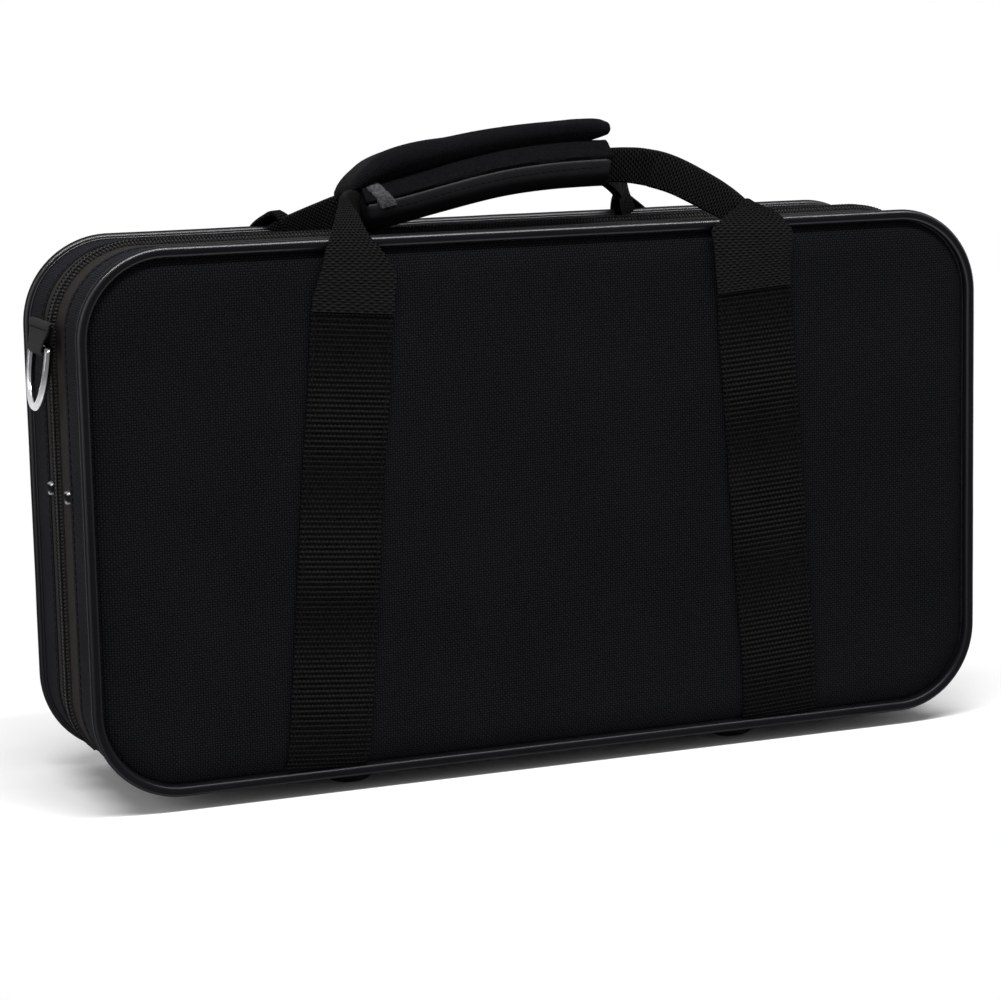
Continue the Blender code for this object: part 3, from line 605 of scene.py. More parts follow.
# Along a tooth: depth from the parting plane, half its width, its lowest and highest point.
tooth_line = (
    (0.0040, 0.00020, 0.0004, 0.0010), (0.0037, 0.00050, 0.0002, 0.0017),
    (0.0026, 0.00056, 0.0002, 0.0021), (0.0013, 0.00052, 0.0002, 0.0022),
    (0.0005, 0.00038, 0.0003, 0.0022), (-0.0004, 0.00034, 0.0005, 0.0021),
    (-0.00075, 0.00012, 0.0009, 0.0016),
)
tooth_rows = []
for depth, half, low, high in tooth_line:
    middle, rise = (low + high) / 2, (high - low) / 2
    tooth_rows.append([
        (tooth_swell * half * math.cos(a), depth, middle + tooth_swell * rise * math.sin(a))
        for a in round_angles(8, 0.5)
    ])
filler = (
    (0.0003, 0.0006), (-0.0009, 0.0008), (-0.0013, 0.0014), (-0.0013, 0.0030), (-0.0008, 0.0037),
    (0.0003, 0.0038),
)
for prefix, side, body in halves:
    shift = coil_margin + (0.0 if side < 0 else tooth_pitch / 2)
    places = np.arange(shift, zip_run - coil_margin, tooth_pitch)
    spots, outs = rim_spots(places)
    along = np.stack([-outs[:, 2], np.zeros(len(outs)), outs[:, 0]], axis=1)
    deep = np.tile((0.0, float(side), 0.0), (len(outs), 1))
    ways = np.stack([along, deep, outs * coil_rise(places)[:, None]], axis=1)
    thing = repeated(prefix + "_teeth", spots, ways, tooth_rows, nylon)
    fitted(thing, body, "nylon", prefix + "_zip_coil")
    spots, outs = rim_spots(zip_lengths)
    rows = [
        [spot - out * inset * high + (0.0, side * depth, 0.0) for inset, depth in filler]
        for spot, out, high in zip(spots, outs, coil_rise(zip_lengths))
    ]
    fitted(skin(prefix + "_coil_filler", rows, tape_cloth), body, "tape_cloth")
    for row, depth in (("inner", 0.0019), ("outer", 0.0032)):
        sewn = np.arange(coil_margin + tooth_pitch / 4, zip_run - coil_margin, tooth_pitch)
        spots, outs = rim_spots(sewn)
        holes = spots + outs * thread_rise * coil_rise(sewn)[:, None] + (0.0, side * depth, 0.0)
        stitches(f"{prefix}_coil_{row}_thread", holes, outs, body)


# Hinge cloth. One doubled strip of the side cloth runs along the bottom between the zip's two
# ends, sewn into both hems: it is the hinge, and it folds along the parting line.
crease_depth = 0.0004
crease_width = 0.0012
spots, outs = rim_spots(np.linspace(zip_run + 0.0004, whole_run - 0.0004, 150))
depths = [-tape_width] + list(np.linspace(-0.006, 0.006, 25)) + [tape_width]
creased = [0.0002 - crease_depth * math.exp(-(d / crease_width) ** 2) for d in depths]
rows = []
for spot, out in zip(spots, outs):
    outer = [spot + out * rise + (0.0, d, 0.0) for d, rise in zip(depths, creased)]
    inner = [spot - out * cloth + (0.0, d, 0.0) for d in reversed(depths)]
    rows.append(outer + inner)
thing = skin("hinge_cloth", rows, side_cloth)
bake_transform(thing)
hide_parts("lid_hinge_leaf", "rear_hinge_leaf")


# Sewn straps. Flat polypropylene webbing with heavy cross ribs, sewn down each face from the
# lower cord to just under the upper one, with a row down each edge and one across the top.
webbing_width = 0.034
webbing_ply = 0.0014
strap_spacing_top = 0.1764
strap_spacing_foot = 0.2044
strap_shift = 0.002
sew_height = 0.1855
rib_pitch = 0.00208
rib_rise = 0.00030
strap_stitch = 0.0034
strap_sway = 0.00025
ends = ((-1, "left"), (1, "right"))

strap_webbing = Finish("strap_webbing", 0.68, 0.02)
web_u, web_v = strap_webbing.cloth_map()
ribs = web_v.wave(rib_pitch)
beads = web_u.wave(0.0017) * web_v.wave(rib_pitch * 2)
strands = beads * 0.55 + (web_u + web_v * 0.5).wave(0.0007) * 0.15
hairs = strap_webbing.grain(0.0009, 3.0, 0.6)
web_relief = ribs.held(-0.3, 0.8) * 0.9 + strands * 1.1 * ribs.held(-0.8, 0.2) + hairs * 0.9
patch = strap_webbing.grain(0.02, 2.0, 0.5)
web_colour = strap_webbing.blend(
    web_relief.held(0.35, 2.3) * 0.9 + patch * 0.1, (0.0002, 0.0002, 0.0002), (0.0160, 0.0157, 0.0156)
)
strap_webbing.coat(web_colour, web_relief, 0.00040, 1.0, 0.84 - web_relief.held(0.2, 2.0) * 0.22)

for prefix, side, body in halves:
    for end, where in ends:
        heights = np.arange(0.0026, sew_height - 0.0001, rib_pitch / 6)
        share = heights / sew_height
        spacing = strap_spacing_foot + (strap_spacing_top - strap_spacing_foot) * share
        middle = strap_shift * share + end * spacing / 2
        lean = (middle[-1] - middle[0]) / (heights[-1] - heights[0])
        rib = rib_rise * (0.5 + 0.5 * np.sin(math.tau * (heights - heights[0]) / rib_pitch))
        seed = 60 + 3 * side + end
        edge_line = np.stack([heights, heights * 0 + seed, heights * 0], 1)
        edge_sway = drift(edge_line, 0.03, seed) * strap_sway
        half = webbing_width / 2
        rows = []
        for h, x, bump, sway in zip(heights, middle, rib, edge_sway):
            ring = [
                (-half + sway, None), (-half - 0.0002 + sway, 0.0), (-half + 0.0003 + sway, 0.0005),
                (-half + 0.0014, 0.0006), (-half + 0.0026, 0.0003),
            ]
            ring += [
                (f * half, 0.0005 + 0.00005 * math.sin(9 * f)) for f in (-0.7, -0.35, 0.0, 0.35, 0.7)
            ]
            ring += [
                (half - 0.0026, 0.0003), (half - 0.0014, 0.0006), (half - 0.0003 + sway, 0.0005),
                (half + 0.0002 + sway, 0.0), (half + sway, None),
            ]
            row = []
            for off, rise in ring:
                z = h - lean * off
                foot = float(crown_height(np.array(z))) + face_depth + seat_gap + 0.0001
                front = foot + webbing_ply - rib_rise - 0.0006
                depth = foot if rise is None else front + rise + bump * (1.0 if rise > 0 else 0.3)
                row.append((x + off, side * depth, stand + z))
            rows.append(row)
        thing = skin(f"{prefix}_strap_{where}_web", rows, strap_webbing)
        fitted(thing, body, "webbing", f"{prefix}_strap_{where}")

        def on_strap(across, height):
            """A needle hole on the strap: share of its half width, height over the lower cord."""
            share = height / sew_height
            gap = strap_spacing_foot + (strap_spacing_top - strap_spacing_foot) * share
            x = strap_shift * share + end * gap / 2 + across * webbing_width / 2
            z = height - lean * across * webbing_width / 2
            y = float(crown_height(np.array(z))) + face_depth + seat_gap + webbing_ply - 0.0002
            return (x, side * y, stand + z)

        high = sew_height - 0.0022
        sewn = np.arange(0.006, high, strap_stitch)
        lines = {
            "edge_a": [on_strap(-0.91, h) for h in sewn],
            "edge_b": [on_strap(0.91, h) for h in sewn],
            "top": [on_strap(a, high) for a in np.linspace(-0.9, 0.9, 13)],
        }
        for line, holes in lines.items():
            lifts = [(0.0, side, 0.0)] * len(holes)
            stitches(f"{prefix}_strap_{where}_{line}", holes, lifts, body)


# Feet. Moulded rubber domes pressed under the bottom edge, two to each half.
foot_radius = 0.0115
foot_height = 0.007
foot_spacing = 0.174
foot_offset = 0.026
foot_rubber = Finish("foot_rubber", 0.5, 0.04)
moulded = foot_rubber.grain(0.0006, 3.0, 0.5)
scuff = foot_rubber.grain(0.006, 4.0, 0.7)
foot_rubber.coat(
    foot_rubber.blend(scuff.held(0.5, 0.8), (0.004, 0.004, 0.0045), (0.014, 0.014, 0.015)), moulded,
    0.00008, 0.5, 0.42 + scuff * 0.25,
)
foot_line = (
    (1.0, 0.0), (1.0, 0.12), (0.99, 0.22), (0.965, 0.36), (0.925, 0.52), (0.86, 0.68), (0.76, 0.82),
    (0.62, 0.92), (0.45, 0.975), (0.25, 1.0), (0.02, 1.0),
)
for prefix, side, body in halves:
    for end, where in ends:
        rows = [
            [
                (
                    end * foot_spacing / 2 + foot_radius * wide * math.cos(a),
                    side * foot_offset + foot_radius * wide * math.sin(a), foot_height * (1 - down),
                )
                for a in round_angles(40)
            ]
            for wide, down in foot_line
        ]
        thing = skin(f"{prefix}_foot_{where}_dome", rows, foot_rubber)
        fitted(thing, body, "foot_rubber", f"{prefix}_foot_{where}")


# Carrying loops. The webbing leaves each sewn strap flat, folds over on itself along its outer
# edge as it turns towards the grip, and runs through the grip doubled.
loop_rise = 0.0512
loop_half = strap_spacing_top / 2
sew_level = stand + sew_height
grip_left = -0.065
grip_right = 0.041
fold_bend = 0.00085
folded_ply = webbing_ply * 0.44
loop_sway = 0.0004
turn_sway = 0.0003
sleeve_offset = 0.009
roll_offset = 0.0083
# The grip's middle line: share of the loop's half width, share of its rise.
grip_line_shares = (
    (-0.75, 0.725), (-0.57, 0.785), (-0.41, 0.845), (-0.20, 0.920),
    (-0.03, 0.965), (0.18, 0.995), (0.36, 1.005), (0.52, 1.005),
)


def smooth(points, steps):
    """A smooth curve through rows of numbers, which passes through each row."""
    points = np.array(points, float)
    curve = []
    last = len(points) - 1
    for k in range(last):
        b, a = points[max(k - 1, 0)], points[k]
        c, d = points[k + 1], points[min(k + 2, last)]
        for t in np.arange(steps) / steps:
            curve.append(0.5 * (
                2 * a + (c - b) * t + (2 * b - 5 * a + 4 * c - d) * t ** 2
                + (3 * a - b - 3 * c + d) * t ** 3
            ))
    curve.append(points[-1])
    return np.array(curve)


grip_curve = smooth([(x * loop_half, z * loop_rise) for x, z in grip_line_shares], 8)


def grip_height(x):
    """Height of the grip's middle line at a place across the case."""
    return sew_level + float(np.interp(x, grip_curve[:, 0], grip_curve[:, 1]))


def folded_row(spot, across, over, width):
    """A row of webbing folded in half: out along one ply, round the fold, back along the other."""
    run = width - fold_bend
    middle = [(-width / 2 + run * t, -fold_bend) for t in (0.0, 0.25, 0.5, 0.75, 1.0)]
    outward = [(0.0, -1.0)] * 5
    for angle in np.radians((30, 60, 90, 120, 150)):
        out, back = math.sin(angle), -math.cos(angle)
        middle.append((width / 2 - fold_bend + fold_bend * out, fold_bend * back))
        outward.append((out, back))
    middle += [(-width / 2 + run * t, fold_bend) for t in (1.0, 0.75, 0.5, 0.25, 0.06)]
    outward += [(0.0, 1.0)] * 5
    ring = []
    for ply in (folded_ply, -folded_ply):
        face = [(a + ply * u, b + ply * v) for (a, b), (u, v) in zip(middle, outward)]
        ring += face if ply > 0 else face[::-1]
    return [spot + a * across + b * over for a, b in ring]


def flat_row(left, right, over, ply):
    """A row of flat webbing with slightly rounded edges."""
    line = list(zip(np.linspace(0, 1, 11), [0.55, 0.95] + [1.0] * 7 + [0.95, 0.55]))
    front = [left + (right - left) * t - over * ply / 2 * w for t, w in line]
    back = [left + (right - left) * t + over * ply / 2 * w for t, w in line]
    return front + back[::-1]


loop_webbing = Finish("loop_webbing", 0.7, 0.02)
loop_u, loop_v = loop_webbing.cloth_map()
plain = loop_u.wave(0.0019) * loop_v.wave(0.0022)
picks = loop_v.wave(0.0011) * 0.45
loop_hairs = loop_webbing.grain(0.0010, 3.0, 0.65)
loop_relief = plain * 0.55 + picks + loop_hairs * 0.8 + 0.6
loop_colour = loop_webbing.blend(
    loop_relief.held(0.2, 1.9), (0.0002, 0.0002, 0.0002), (0.0128, 0.0126, 0.0125)
)
loop_webbing.coat(loop_colour, loop_relief, 0.00050, 1.0, 0.85 - loop_relief.held(0.3, 1.9) * 0.2)

# Where the flat webbing turns over, in millimetres: left edge across and up, right edge across
# and up, and depth; then the doubled webbing from the grip outwards: its middle and its width.
turns_over = {
    "front_left": (
        (-103.2, 195.2, -69.2, 192.3, -47.5), (-102.6, 201.0, -69.0, 198.0, -47.9),
        (-99.3, 210.5, -68.3, 208.6, -48.1), (-96.9, 218.2, -73.4, 217.3, -47.6),
        (-94.0, 224.6, -78.2, 223.8, -45.7), (-90.9, 230.2, -80.2, 230.1, -42.0),
        (-88.0, 234.5, -81.5, 234.6, -37.5), (-85.6, 237.5, -82.2, 237.6, -33.0),
        (-84.0, 236.0, -80.0, 236.4, -29.0), (-82.0, 231.0, -77.5, 232.0, -27.5),
    ),
    "front_right": (
        (73.2, 192.6, 107.2, 194.9, -47.5), (72.4, 202.0, 106.8, 203.0, -47.9),
        (71.6, 212.0, 107.6, 211.6, -48.1), (71.0, 219.2, 107.8, 217.4, -47.6),
        (75.6, 222.8, 105.4, 221.4, -46.0), (80.4, 225.6, 101.4, 225.2, -44.4),
        (85.2, 228.2, 94.6, 228.2, -42.6), (87.2, 229.6, 91.6, 229.6, -40.6),
        (86.0, 227.5, 91.0, 228.5, -38.2), (84.0, 222.0, 90.0, 224.5, -37.6),
    ),
    "rear_left": (
        (-103.2, 195.2, -69.2, 192.3, 47.5), (-102.8, 204.0, -69.4, 204.0, 48.0),
        (-102.2, 212.5, -70.8, 212.5, 48.1), (-101.2, 218.5, -74.0, 219.0, 47.2),
        (-98.4, 223.5, -78.8, 224.6, 44.8), (-94.8, 226.8, -83.8, 227.9, 41.6),
        (-91.6, 228.4, -86.8, 228.9, 38.2), (-89.5, 226.0, -84.8, 227.0, 35.6),
        (-88.0, 221.5, -83.0, 223.0, 35.0),
    ),
    "rear_right": (
        (73.2, 192.6, 107.2, 194.9, 47.5), (71.8, 203.0, 104.8, 203.0, 48.0),
        (69.6, 211.0, 99.6, 211.0, 48.1), (68.0, 217.4, 92.6, 217.2, 47.4),
        (66.8, 222.6, 85.0, 222.0, 45.4), (65.8, 227.0, 78.0, 226.4, 41.8),
        (65.4, 230.4, 71.6, 230.0, 37.4), (64.4, 229.0, 69.6, 229.0, 33.8),
        (63.8, 224.0, 68.4, 224.6, 33.0),
    ),
}
doubled = {
    "front_left": (
        (-65.0, -9.2, 231.2, 14.0), (-70.5, -11.5, 231.9, 14.2), (-75.5, -17.5, 232.6, 14.0),
        (-79.8, -26.0, 231.6, 13.6), (-83.6, -34.5, 228.2, 12.6), (-86.0, -40.0, 224.0, 11.0),
    ),
    "front_right": (
        (41.0, -9.0, 245.0, 14.0), (49.0, -9.2, 244.8, 14.4), (56.0, -11.0, 244.0, 15.0),
        (62.8, -14.6, 242.2, 15.2), (69.0, -19.0, 239.4, 14.8), (75.0, -25.8, 235.2, 14.4),
        (80.0, -33.0, 231.0, 13.8), (84.6, -39.2, 226.6, 12.4), (88.6, -42.8, 221.6, 11.0),
    ),
    "rear_left": (
        (-65.0, 8.4, 230.9, 13.6), (-70.6, 10.5, 229.4, 13.6), (-76.0, 17.5, 226.6, 13.2),
        (-80.6, 26.5, 223.6, 12.8), (-85.6, 34.6, 220.6, 12.0), (-90.0, 40.6, 217.6, 11.0),
    ),
    "rear_right": (
        (41.0, 8.3, 245.0, 13.6), (47.0, 9.0, 243.6, 14.0), (53.4, 13.0, 240.4, 14.4),
        (59.2, 20.0, 236.0, 14.2), (64.0, 28.5, 230.6, 13.8), (68.4, 36.0, 225.0, 13.0),
        (73.0, 41.5, 219.5, 12.0),
    ),
}


def ways_along(spots):
    """The direction of a line at each of its points."""
    ways = np.gradient(spots, axis=0)
    return ways / np.linalg.norm(ways, axis=1)[:, None]


for prefix, side, offset, sewn_to in (
    ("front", -1, sleeve_offset, "lid"), ("rear", 1, roll_offset, "rear_half"),
):
    inside = [
        (x * 1000, side * offset * 1000, grip_height(x) * 1000, 11.8)
        for x in np.linspace(grip_left + 0.004, grip_right - 0.004, 22)
    ]
    left = smooth(doubled[prefix + "_left"][::-1], 8)
    right = smooth(doubled[prefix + "_right"], 8)
    stations = np.concatenate([left, inside, right]) / 1000
    spots = stations[:, :3]
    sway = drift(spots, 0.03, 90 + side) * loop_sway
    rows = []
    for k, (spot, way) in enumerate(zip(spots, ways_along(spots))):
        in_grip = abs(spot[0]) < 0.06
        lean = (0.0, 0.12 * side, 1.0) if in_grip else (0.30 * np.sign(spot[0]), 0.10 * side, 1.0)
        across = lean - (lean @ way) * way
        across /= np.linalg.norm(across)
        over = np.cross(way, across)
        rows.append(folded_row(spot + over * sway[k], across, over, stations[k, 3]))
    thing = skin(prefix + "_loop", rows, loop_webbing)
    fitted(thing, prefix + "_handle", "webbing", prefix + "_loop_webbing")
    for where in ("left", "right"):
        table = smooth(turns_over[prefix + "_" + where], 7) / 1000
        left = np.stack([table[:, 0], table[:, 4], table[:, 1]], axis=1)
        right = np.stack([table[:, 2], table[:, 4], table[:, 3]], axis=1)
        middle = (left + right) / 2
        sway = drift(middle, 0.02, 95 + side) * turn_sway
        rows = []
        for k, way in enumerate(ways_along(middle)):
            across = right[k] - left[k]
            wide = np.linalg.norm(across)
            over = np.cross(way, across / wide)
            over /= np.linalg.norm(over)
            ply = webbing_ply * (0.92 + 0.9 * (1 - min(wide / webbing_width, 1.0)))
            rows.append(flat_row(left[k] + over * sway[k], right[k] - over * sway[k], over, ply))
        thing = skin(f"{prefix}_turn_{where}", rows, loop_webbing)
        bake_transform(thing)


# Grip. A foam tube in smooth coated cloth round the front loop, with a raised edge along its
# closing seam and a strip of loop tape above it; the rear loop has a plain padded roll.
sleeve_depth = 0.016
sleeve_height = 0.0164
roll_depth = 0.015
roll_height = 0.0156
grip_cloth = Finish("grip_cloth", 0.40, 0.10)
hide = grip_cloth.grain(0.0009, 4.0, 0.6)
wrinkle = grip_cloth.grain(0.012, 3.0, 0.5)
grip_cloth.coat(
    grip_cloth.blend(wrinkle, (0.0018, 0.0018, 0.0023), (0.0060, 0.0060, 0.0073)),
    hide * 0.35 + wrinkle, 0.00040, 0.4, 0.34 + hide * 0.10 + wrinkle * 0.08,
)
sleeve_left = grip_left - 0.0045
crease_angle = math.radians(163)
crease_span = math.radians(9)


def grip_body(name, offset, depth, height, crease, seed, body, node):
    """A padded tube along the grip's line, rounded in at both ends to its webbing."""
    left = sleeve_left if crease else grip_left
    places = np.concatenate([
        left + np.array([0.0, 0.0002, 0.0006, 0.0013, 0.0024]),
        np.linspace(left + 0.004, grip_right - 0.004, 54),
        grip_right - np.array([0.0024, 0.0013, 0.0006, 0.0002, 0.0]),
    ])
    rows = []
    for x in places:
        from_end = min(x - left, grip_right - x)
        pull = 1 - 0.42 * (1 - min(from_end / 0.0026, 1.0)) ** 2.2
        waist = 1 + 0.018 * math.exp(-(from_end / 0.010) ** 2)
        row = []
        for a in round_angles(48):
            spot = np.array([[x * 2.2, math.cos(a) * 0.008, math.sin(a) * 0.008]])
            swell = 1 + 0.020 * float(drift(spot, 0.05, seed)[0])
            edge = 0.0
            if crease:
                past = (a - crease_angle) / crease_span
                edge = 0.00055 * math.exp(-past ** 2) - 0.00045 * math.exp(-(past + 1.6) ** 2 / 0.5)
            wide = (depth / 2 * swell + edge) * pull * waist
            tall = (height / 2 * swell + edge) * pull * waist
            row.append((x, offset + wide * math.cos(a), grip_height(x) + tall * math.sin(a)))
        rows.append(row)
    inner = [
        [
            (x, offset + 0.0026 * math.cos(a), grip_height(x) + 0.0068 * math.sin(a))
            for a in round_angles(48)
        ]
        for x in (left + 0.003, grip_right - 0.003)
    ]
    thing = skin(name, [inner[0]] + rows + [inner[1]], grip_cloth)
    fitted(thing, body, "grip_leather", node)


grip_body(
    "front_sleeve", -sleeve_offset, sleeve_depth, sleeve_height, True, 71, "front_handle",
    "front_grip_sleeve",
)
grip_body(
    "rear_roll", roll_offset, roll_depth, roll_height, False, 72, "rear_handle", "rear_grip_roll"
)


def on_sleeve(x, angle, lift):
    """A place on the sleeve's surface."""
    return (
        x, -sleeve_offset + (sleeve_depth / 2 + lift) * math.cos(angle),
        grip_height(x) + (sleeve_height / 2 + lift) * math.sin(angle),
    )


def tape_lip(angle):
    """How far the tape stands up towards the flap, at an angle round the sleeve."""
    return 0.0014 * min(max((math.radians(128) - angle) / math.radians(30), 0.0), 1.0)


seam_angle = crease_angle + math.radians(17)
seam_holes = [
    on_sleeve(x, seam_angle, -0.00004)
    for x in np.arange(grip_left + 0.004, grip_right - 0.003, 0.003)
]
seam_lifts = [(0.0, math.cos(crease_angle), math.sin(crease_angle))] * len(seam_holes)
stitches("sleeve_seam_stitches", seam_holes, seam_lifts, "front_handle")

loop_tape = Finish("loop_tape", 0.95, 0.02)
curls = loop_tape.grain(0.0009, 4.0, 0.8)
knots = loop_tape.grain(0.0028, 2.0, 0.6)
curl_colour = loop_tape.blend(
    curls.held(0.3, 0.75) * 0.7 + knots * 0.3, (0.0006, 0.0006, 0.0008), (0.0075, 0.0075, 0.0088)
)
loop_tape.coat(curl_colour, curls + knots * 0.5, 0.0007, 0.9)
rows = []
for x in np.linspace(sleeve_left + 0.0006, grip_right - 0.0006, 90):
    angles = np.linspace(math.radians(82), math.radians(156), 15)
    outer, inner = [], []
    for k, a in enumerate(angles):
        spot = np.array([[x, 0.02 * math.cos(a), 0.02 * math.sin(a)]])
        rough = 0.00018 * float(drift(spot, 0.0035, 73)[0])
        edge = 0.0 if k in (0, len(angles) - 1) else 1.0
        rise = 0.0003 + (0.0011 + rough + tape_lip(a)) * edge + 0.0003 * (1 - edge)
        outer.append(on_sleeve(x, a, rise))
        inner.append(on_sleeve(x, a, -0.0004))
    rows.append(outer + inner[::-1])
thing = skin("sleeve_loop_tape", rows, loop_tape)
fitted(thing, "front_handle", "fuzzy_tape", "grip_loop_tape")

# The raw left end of the loop tape, brushed up and lighter than the rest.
brushed = Finish("brushed_tape", 0.95, 0.05)
tufts = brushed.grain(0.0013, 4.0, 0.85)
brushed.coat(
    brushed.blend(tufts.held(0.35, 0.7), (0.016, 0.016, 0.018), (0.085, 0.084, 0.090)), tufts,
    0.0009, 0.9,
)
rows = []
for share in np.linspace(0, 1, 12):
    angles = np.linspace(math.radians(84), math.radians(174), 13)
    outer, inner = [], []
    for k, a in enumerate(angles):
        x = sleeve_left + 0.0004 + 0.0068 * share + 0.0066 * k / 12
        spot = np.array([[x, 0.02 * math.cos(a), 0.02 * math.sin(a)]])
        rough = 0.0003 * float(drift(spot, 0.003, 74)[0])
        edge = min(k, 12 - k, 3) / 3 * min(share, 1 - share, 0.25) * 4
        outer.append(on_sleeve(x, a, 0.0012 + tape_lip(a) + (0.0012 + rough) * edge))
        inner.append(on_sleeve(x, a, -0.0003))
    rows.append(outer + inner[::-1])
fitted(skin("tape_end_tuft", rows, brushed), "front_handle", "fuzzy_tape")


# Flap. A padded plate of matt cloth over foam, sewn along the top of the rear roll, that folds
# forward over the sleeve. Hook tape lines its underside, and its left end droops.
flap_thickness = 0.0076
flap_length = 0.118
flap_reach = 0.0294
flap_left = -0.0745
flap_angle = math.radians(9)
flap_edge = flap_thickness / 2
seam_offset = roll_offset + roll_depth / 2 - flap_edge - seat_gap
seam_rise = roll_height / 2 + flap_edge + seat_gap * 2
# Along the flap from its left end: share of its length, then droop, thinning and puff.
droop_line = (
    (0.0, 0.04, 0.09, 0.16, 0.28, 0.85, 1.0), (-1.00, -0.62, -0.32, -0.10, 0.0, 0.0, -0.12),
)
thin_line = ((0.0, 0.06, 0.14, 0.94, 1.0), (0.62, 0.9, 1.0, 1.0, 0.7))
puff_line = (
    (0.0, 0.04, 0.11, 0.22, 0.36, 0.58, 0.79, 0.945, 1.0),
    (0.0010, 0.0030, 0.0046, 0.0042, 0.0022, 0.0009, 0.0005, 0.0012, 0.0008),
)
forward = np.array([0.0, -math.cos(flap_angle), math.sin(flap_angle)])
upward = np.array([0.0, math.sin(flap_angle), math.cos(flap_angle)])
flap_cloth = Finish("flap_cloth", 0.85, 0.03)
flap_x, flap_y, flap_z = flap_cloth.place()
tight_weave = flap_x.wave(0.0011) * (flap_y + flap_z * 0.6).wave(0.0011)
nap = flap_cloth.grain(0.0012, 4.0, 0.7)
flap_relief = tight_weave * 0.4 + nap + 0.2
flap_cloth.coat(
    flap_cloth.blend(flap_relief.held(0.2, 1.2), (0.0006, 0.0006, 0.0008), (0.0055, 0.0055, 0.0066)),
    flap_relief, 0.00025, 0.8,
)


def applied(thing):
    """Apply a piece's modifiers to its mesh."""
    graph = bpy.context.evaluated_depsgraph_get()
    mesh = bpy.data.meshes.new_from_object(thing.evaluated_get(graph))
    thing.modifiers.clear()
    thing.data = mesh
    mesh.shade_smooth()
    return mesh


def even_cells(thing, voxel):
    """Ask for a closed skin of even cells over a piece."""
    remesh = thing.modifiers.new("cells", "REMESH")
    remesh.mode = "VOXEL"
    remesh.voxel_size = voxel


def covered(thing, finish):
    """Give a whole piece one finish."""
    thing.data.materials.clear()
    thing.data.materials.append(finish.material)


def shrunk_to_cloth(thing, voxel, cap, finish):
    """Close a padded piece into even cells and fill it as its cloth would be, within a cap."""
    scene = bpy.context.scene
    even_cells(thing, voxel)
    mesh = applied(thing)
    before = np.array([v.co for v in mesh.vertices])
    blown = thing.modifiers.new("filling", "CLOTH")
    blown.settings.use_pressure = True
    blown.settings.uniform_pressure_force = 4.0
    blown.settings.effector_weights.gravity = 0.0
    for step in range(1, 21):
        scene.frame_set(step)
    graph = bpy.context.evaluated_depsgraph_get()
    moved = thing.evaluated_get(graph).to_mesh()
    after = np.array([v.co for v in moved.vertices])
    thing.evaluated_get(graph).to_mesh_clear()
    thing.modifiers.clear()
    scene.frame_set(1)
    way = after - before
    far = np.linalg.norm(way, axis=1)[:, None]
    way *= np.minimum(1.0, cap / np.maximum(far, 1e-9))
    mesh.vertices.foreach_set("co", (before + way).ravel())
    round_off = thing.modifiers.new("rounding", "SUBSURF")
    round_off.levels = round_off.render_levels = 1
    applied(thing)
    covered(thing, finish)


def flap_end(middle, start, edge):
    """Half a turn round the flap's edge, from one of its faces to the other."""
    angles = [start - math.pi * j / 12 for j in range(13)]
    return [middle + edge * (math.cos(a) * forward + math.sin(a) * upward) for a in angles]


shrink = 0.0004
rows = []
for share in np.linspace(0, 1, 60):
    x = flap_left + 0.0022 + share * (flap_length - 0.0028)
    lift = np.interp(share, *droop_line) * flap_thickness
    puff = np.interp(share, *puff_line)
    edge = (flap_edge - shrink) * np.interp(share, *thin_line) + puff / 2
    if share in (0.0, 1.0):
        edge *= 0.7
    base = np.array([x, seam_offset, grip_height(max(x, grip_left)) + seam_rise + lift + puff / 2])
    front = base + forward * (flap_reach - 2 * flap_edge)
    ring = flap_end(base, -math.pi / 2, edge)
    ring += [base * (1 - t) + front * t + edge * upward for t in np.linspace(0.08, 0.92, 12)]
    ring += flap_end(front, math.pi / 2, edge)
    ring += [base * (1 - t) + front * t - edge * upward for t in np.linspace(0.92, 0.08, 12)]
    rows.append(ring)
flap = skin("flap_pad", rows, flap_cloth)
shrunk_to_cloth(flap, 0.0016, 0.0006, flap_cloth)
fitted(flap, "flap", "grip_leather", "grip_flap")


def on_flap(share, reach, lift):
    """A place on the flap: share along it, share of its reach, distance off its middle."""
    x = flap_left + share * flap_length
    drop = np.interp(share, *droop_line) * flap_thickness
    base = np.array([x, seam_offset, grip_height(max(x, grip_left)) + seam_rise + drop])
    return base + forward * (flap_reach - 2 * flap_edge) * reach + upward * lift


hook_tape = Finish("hook_tape", 0.7, 0.08)
hook_x, hook_y, _ = hook_tape.place()
hooks = hook_x.wave(0.0012) * hook_y.wave(0.0012)
hook_grain = hook_tape.grain(0.0007, 2.0, 0.6)
hook_relief = hooks.held(0.1, 0.8) + hook_grain * 0.4
hook_tape.coat(
    hook_tape.blend(hook_relief.held(0.0, 1.3), (0.0020, 0.0020, 0.0024), (0.0150, 0.0150, 0.0165)),
    hook_relief, 0.0005, 0.9,
)
rows = []
for share in np.linspace(0.145, 0.925, 70):
    under = -flap_edge * np.interp(share, *thin_line)
    upper = [on_flap(share, r, under + 0.0008) for r in (0.30, 0.45, 0.61, 0.77, 0.92)]
    lower = [on_flap(share, 0.925, under - 0.0006)]
    lower += [on_flap(share, r, under - 0.0010) for r in (0.91, 0.77, 0.61, 0.45, 0.31)]
    lower += [on_flap(share, 0.295, under - 0.0006)]
    rows.append(upper + lower)
fitted(skin("flap_hooks", rows, hook_tape), "flap", "fuzzy_tape", "flap_hook_tape")


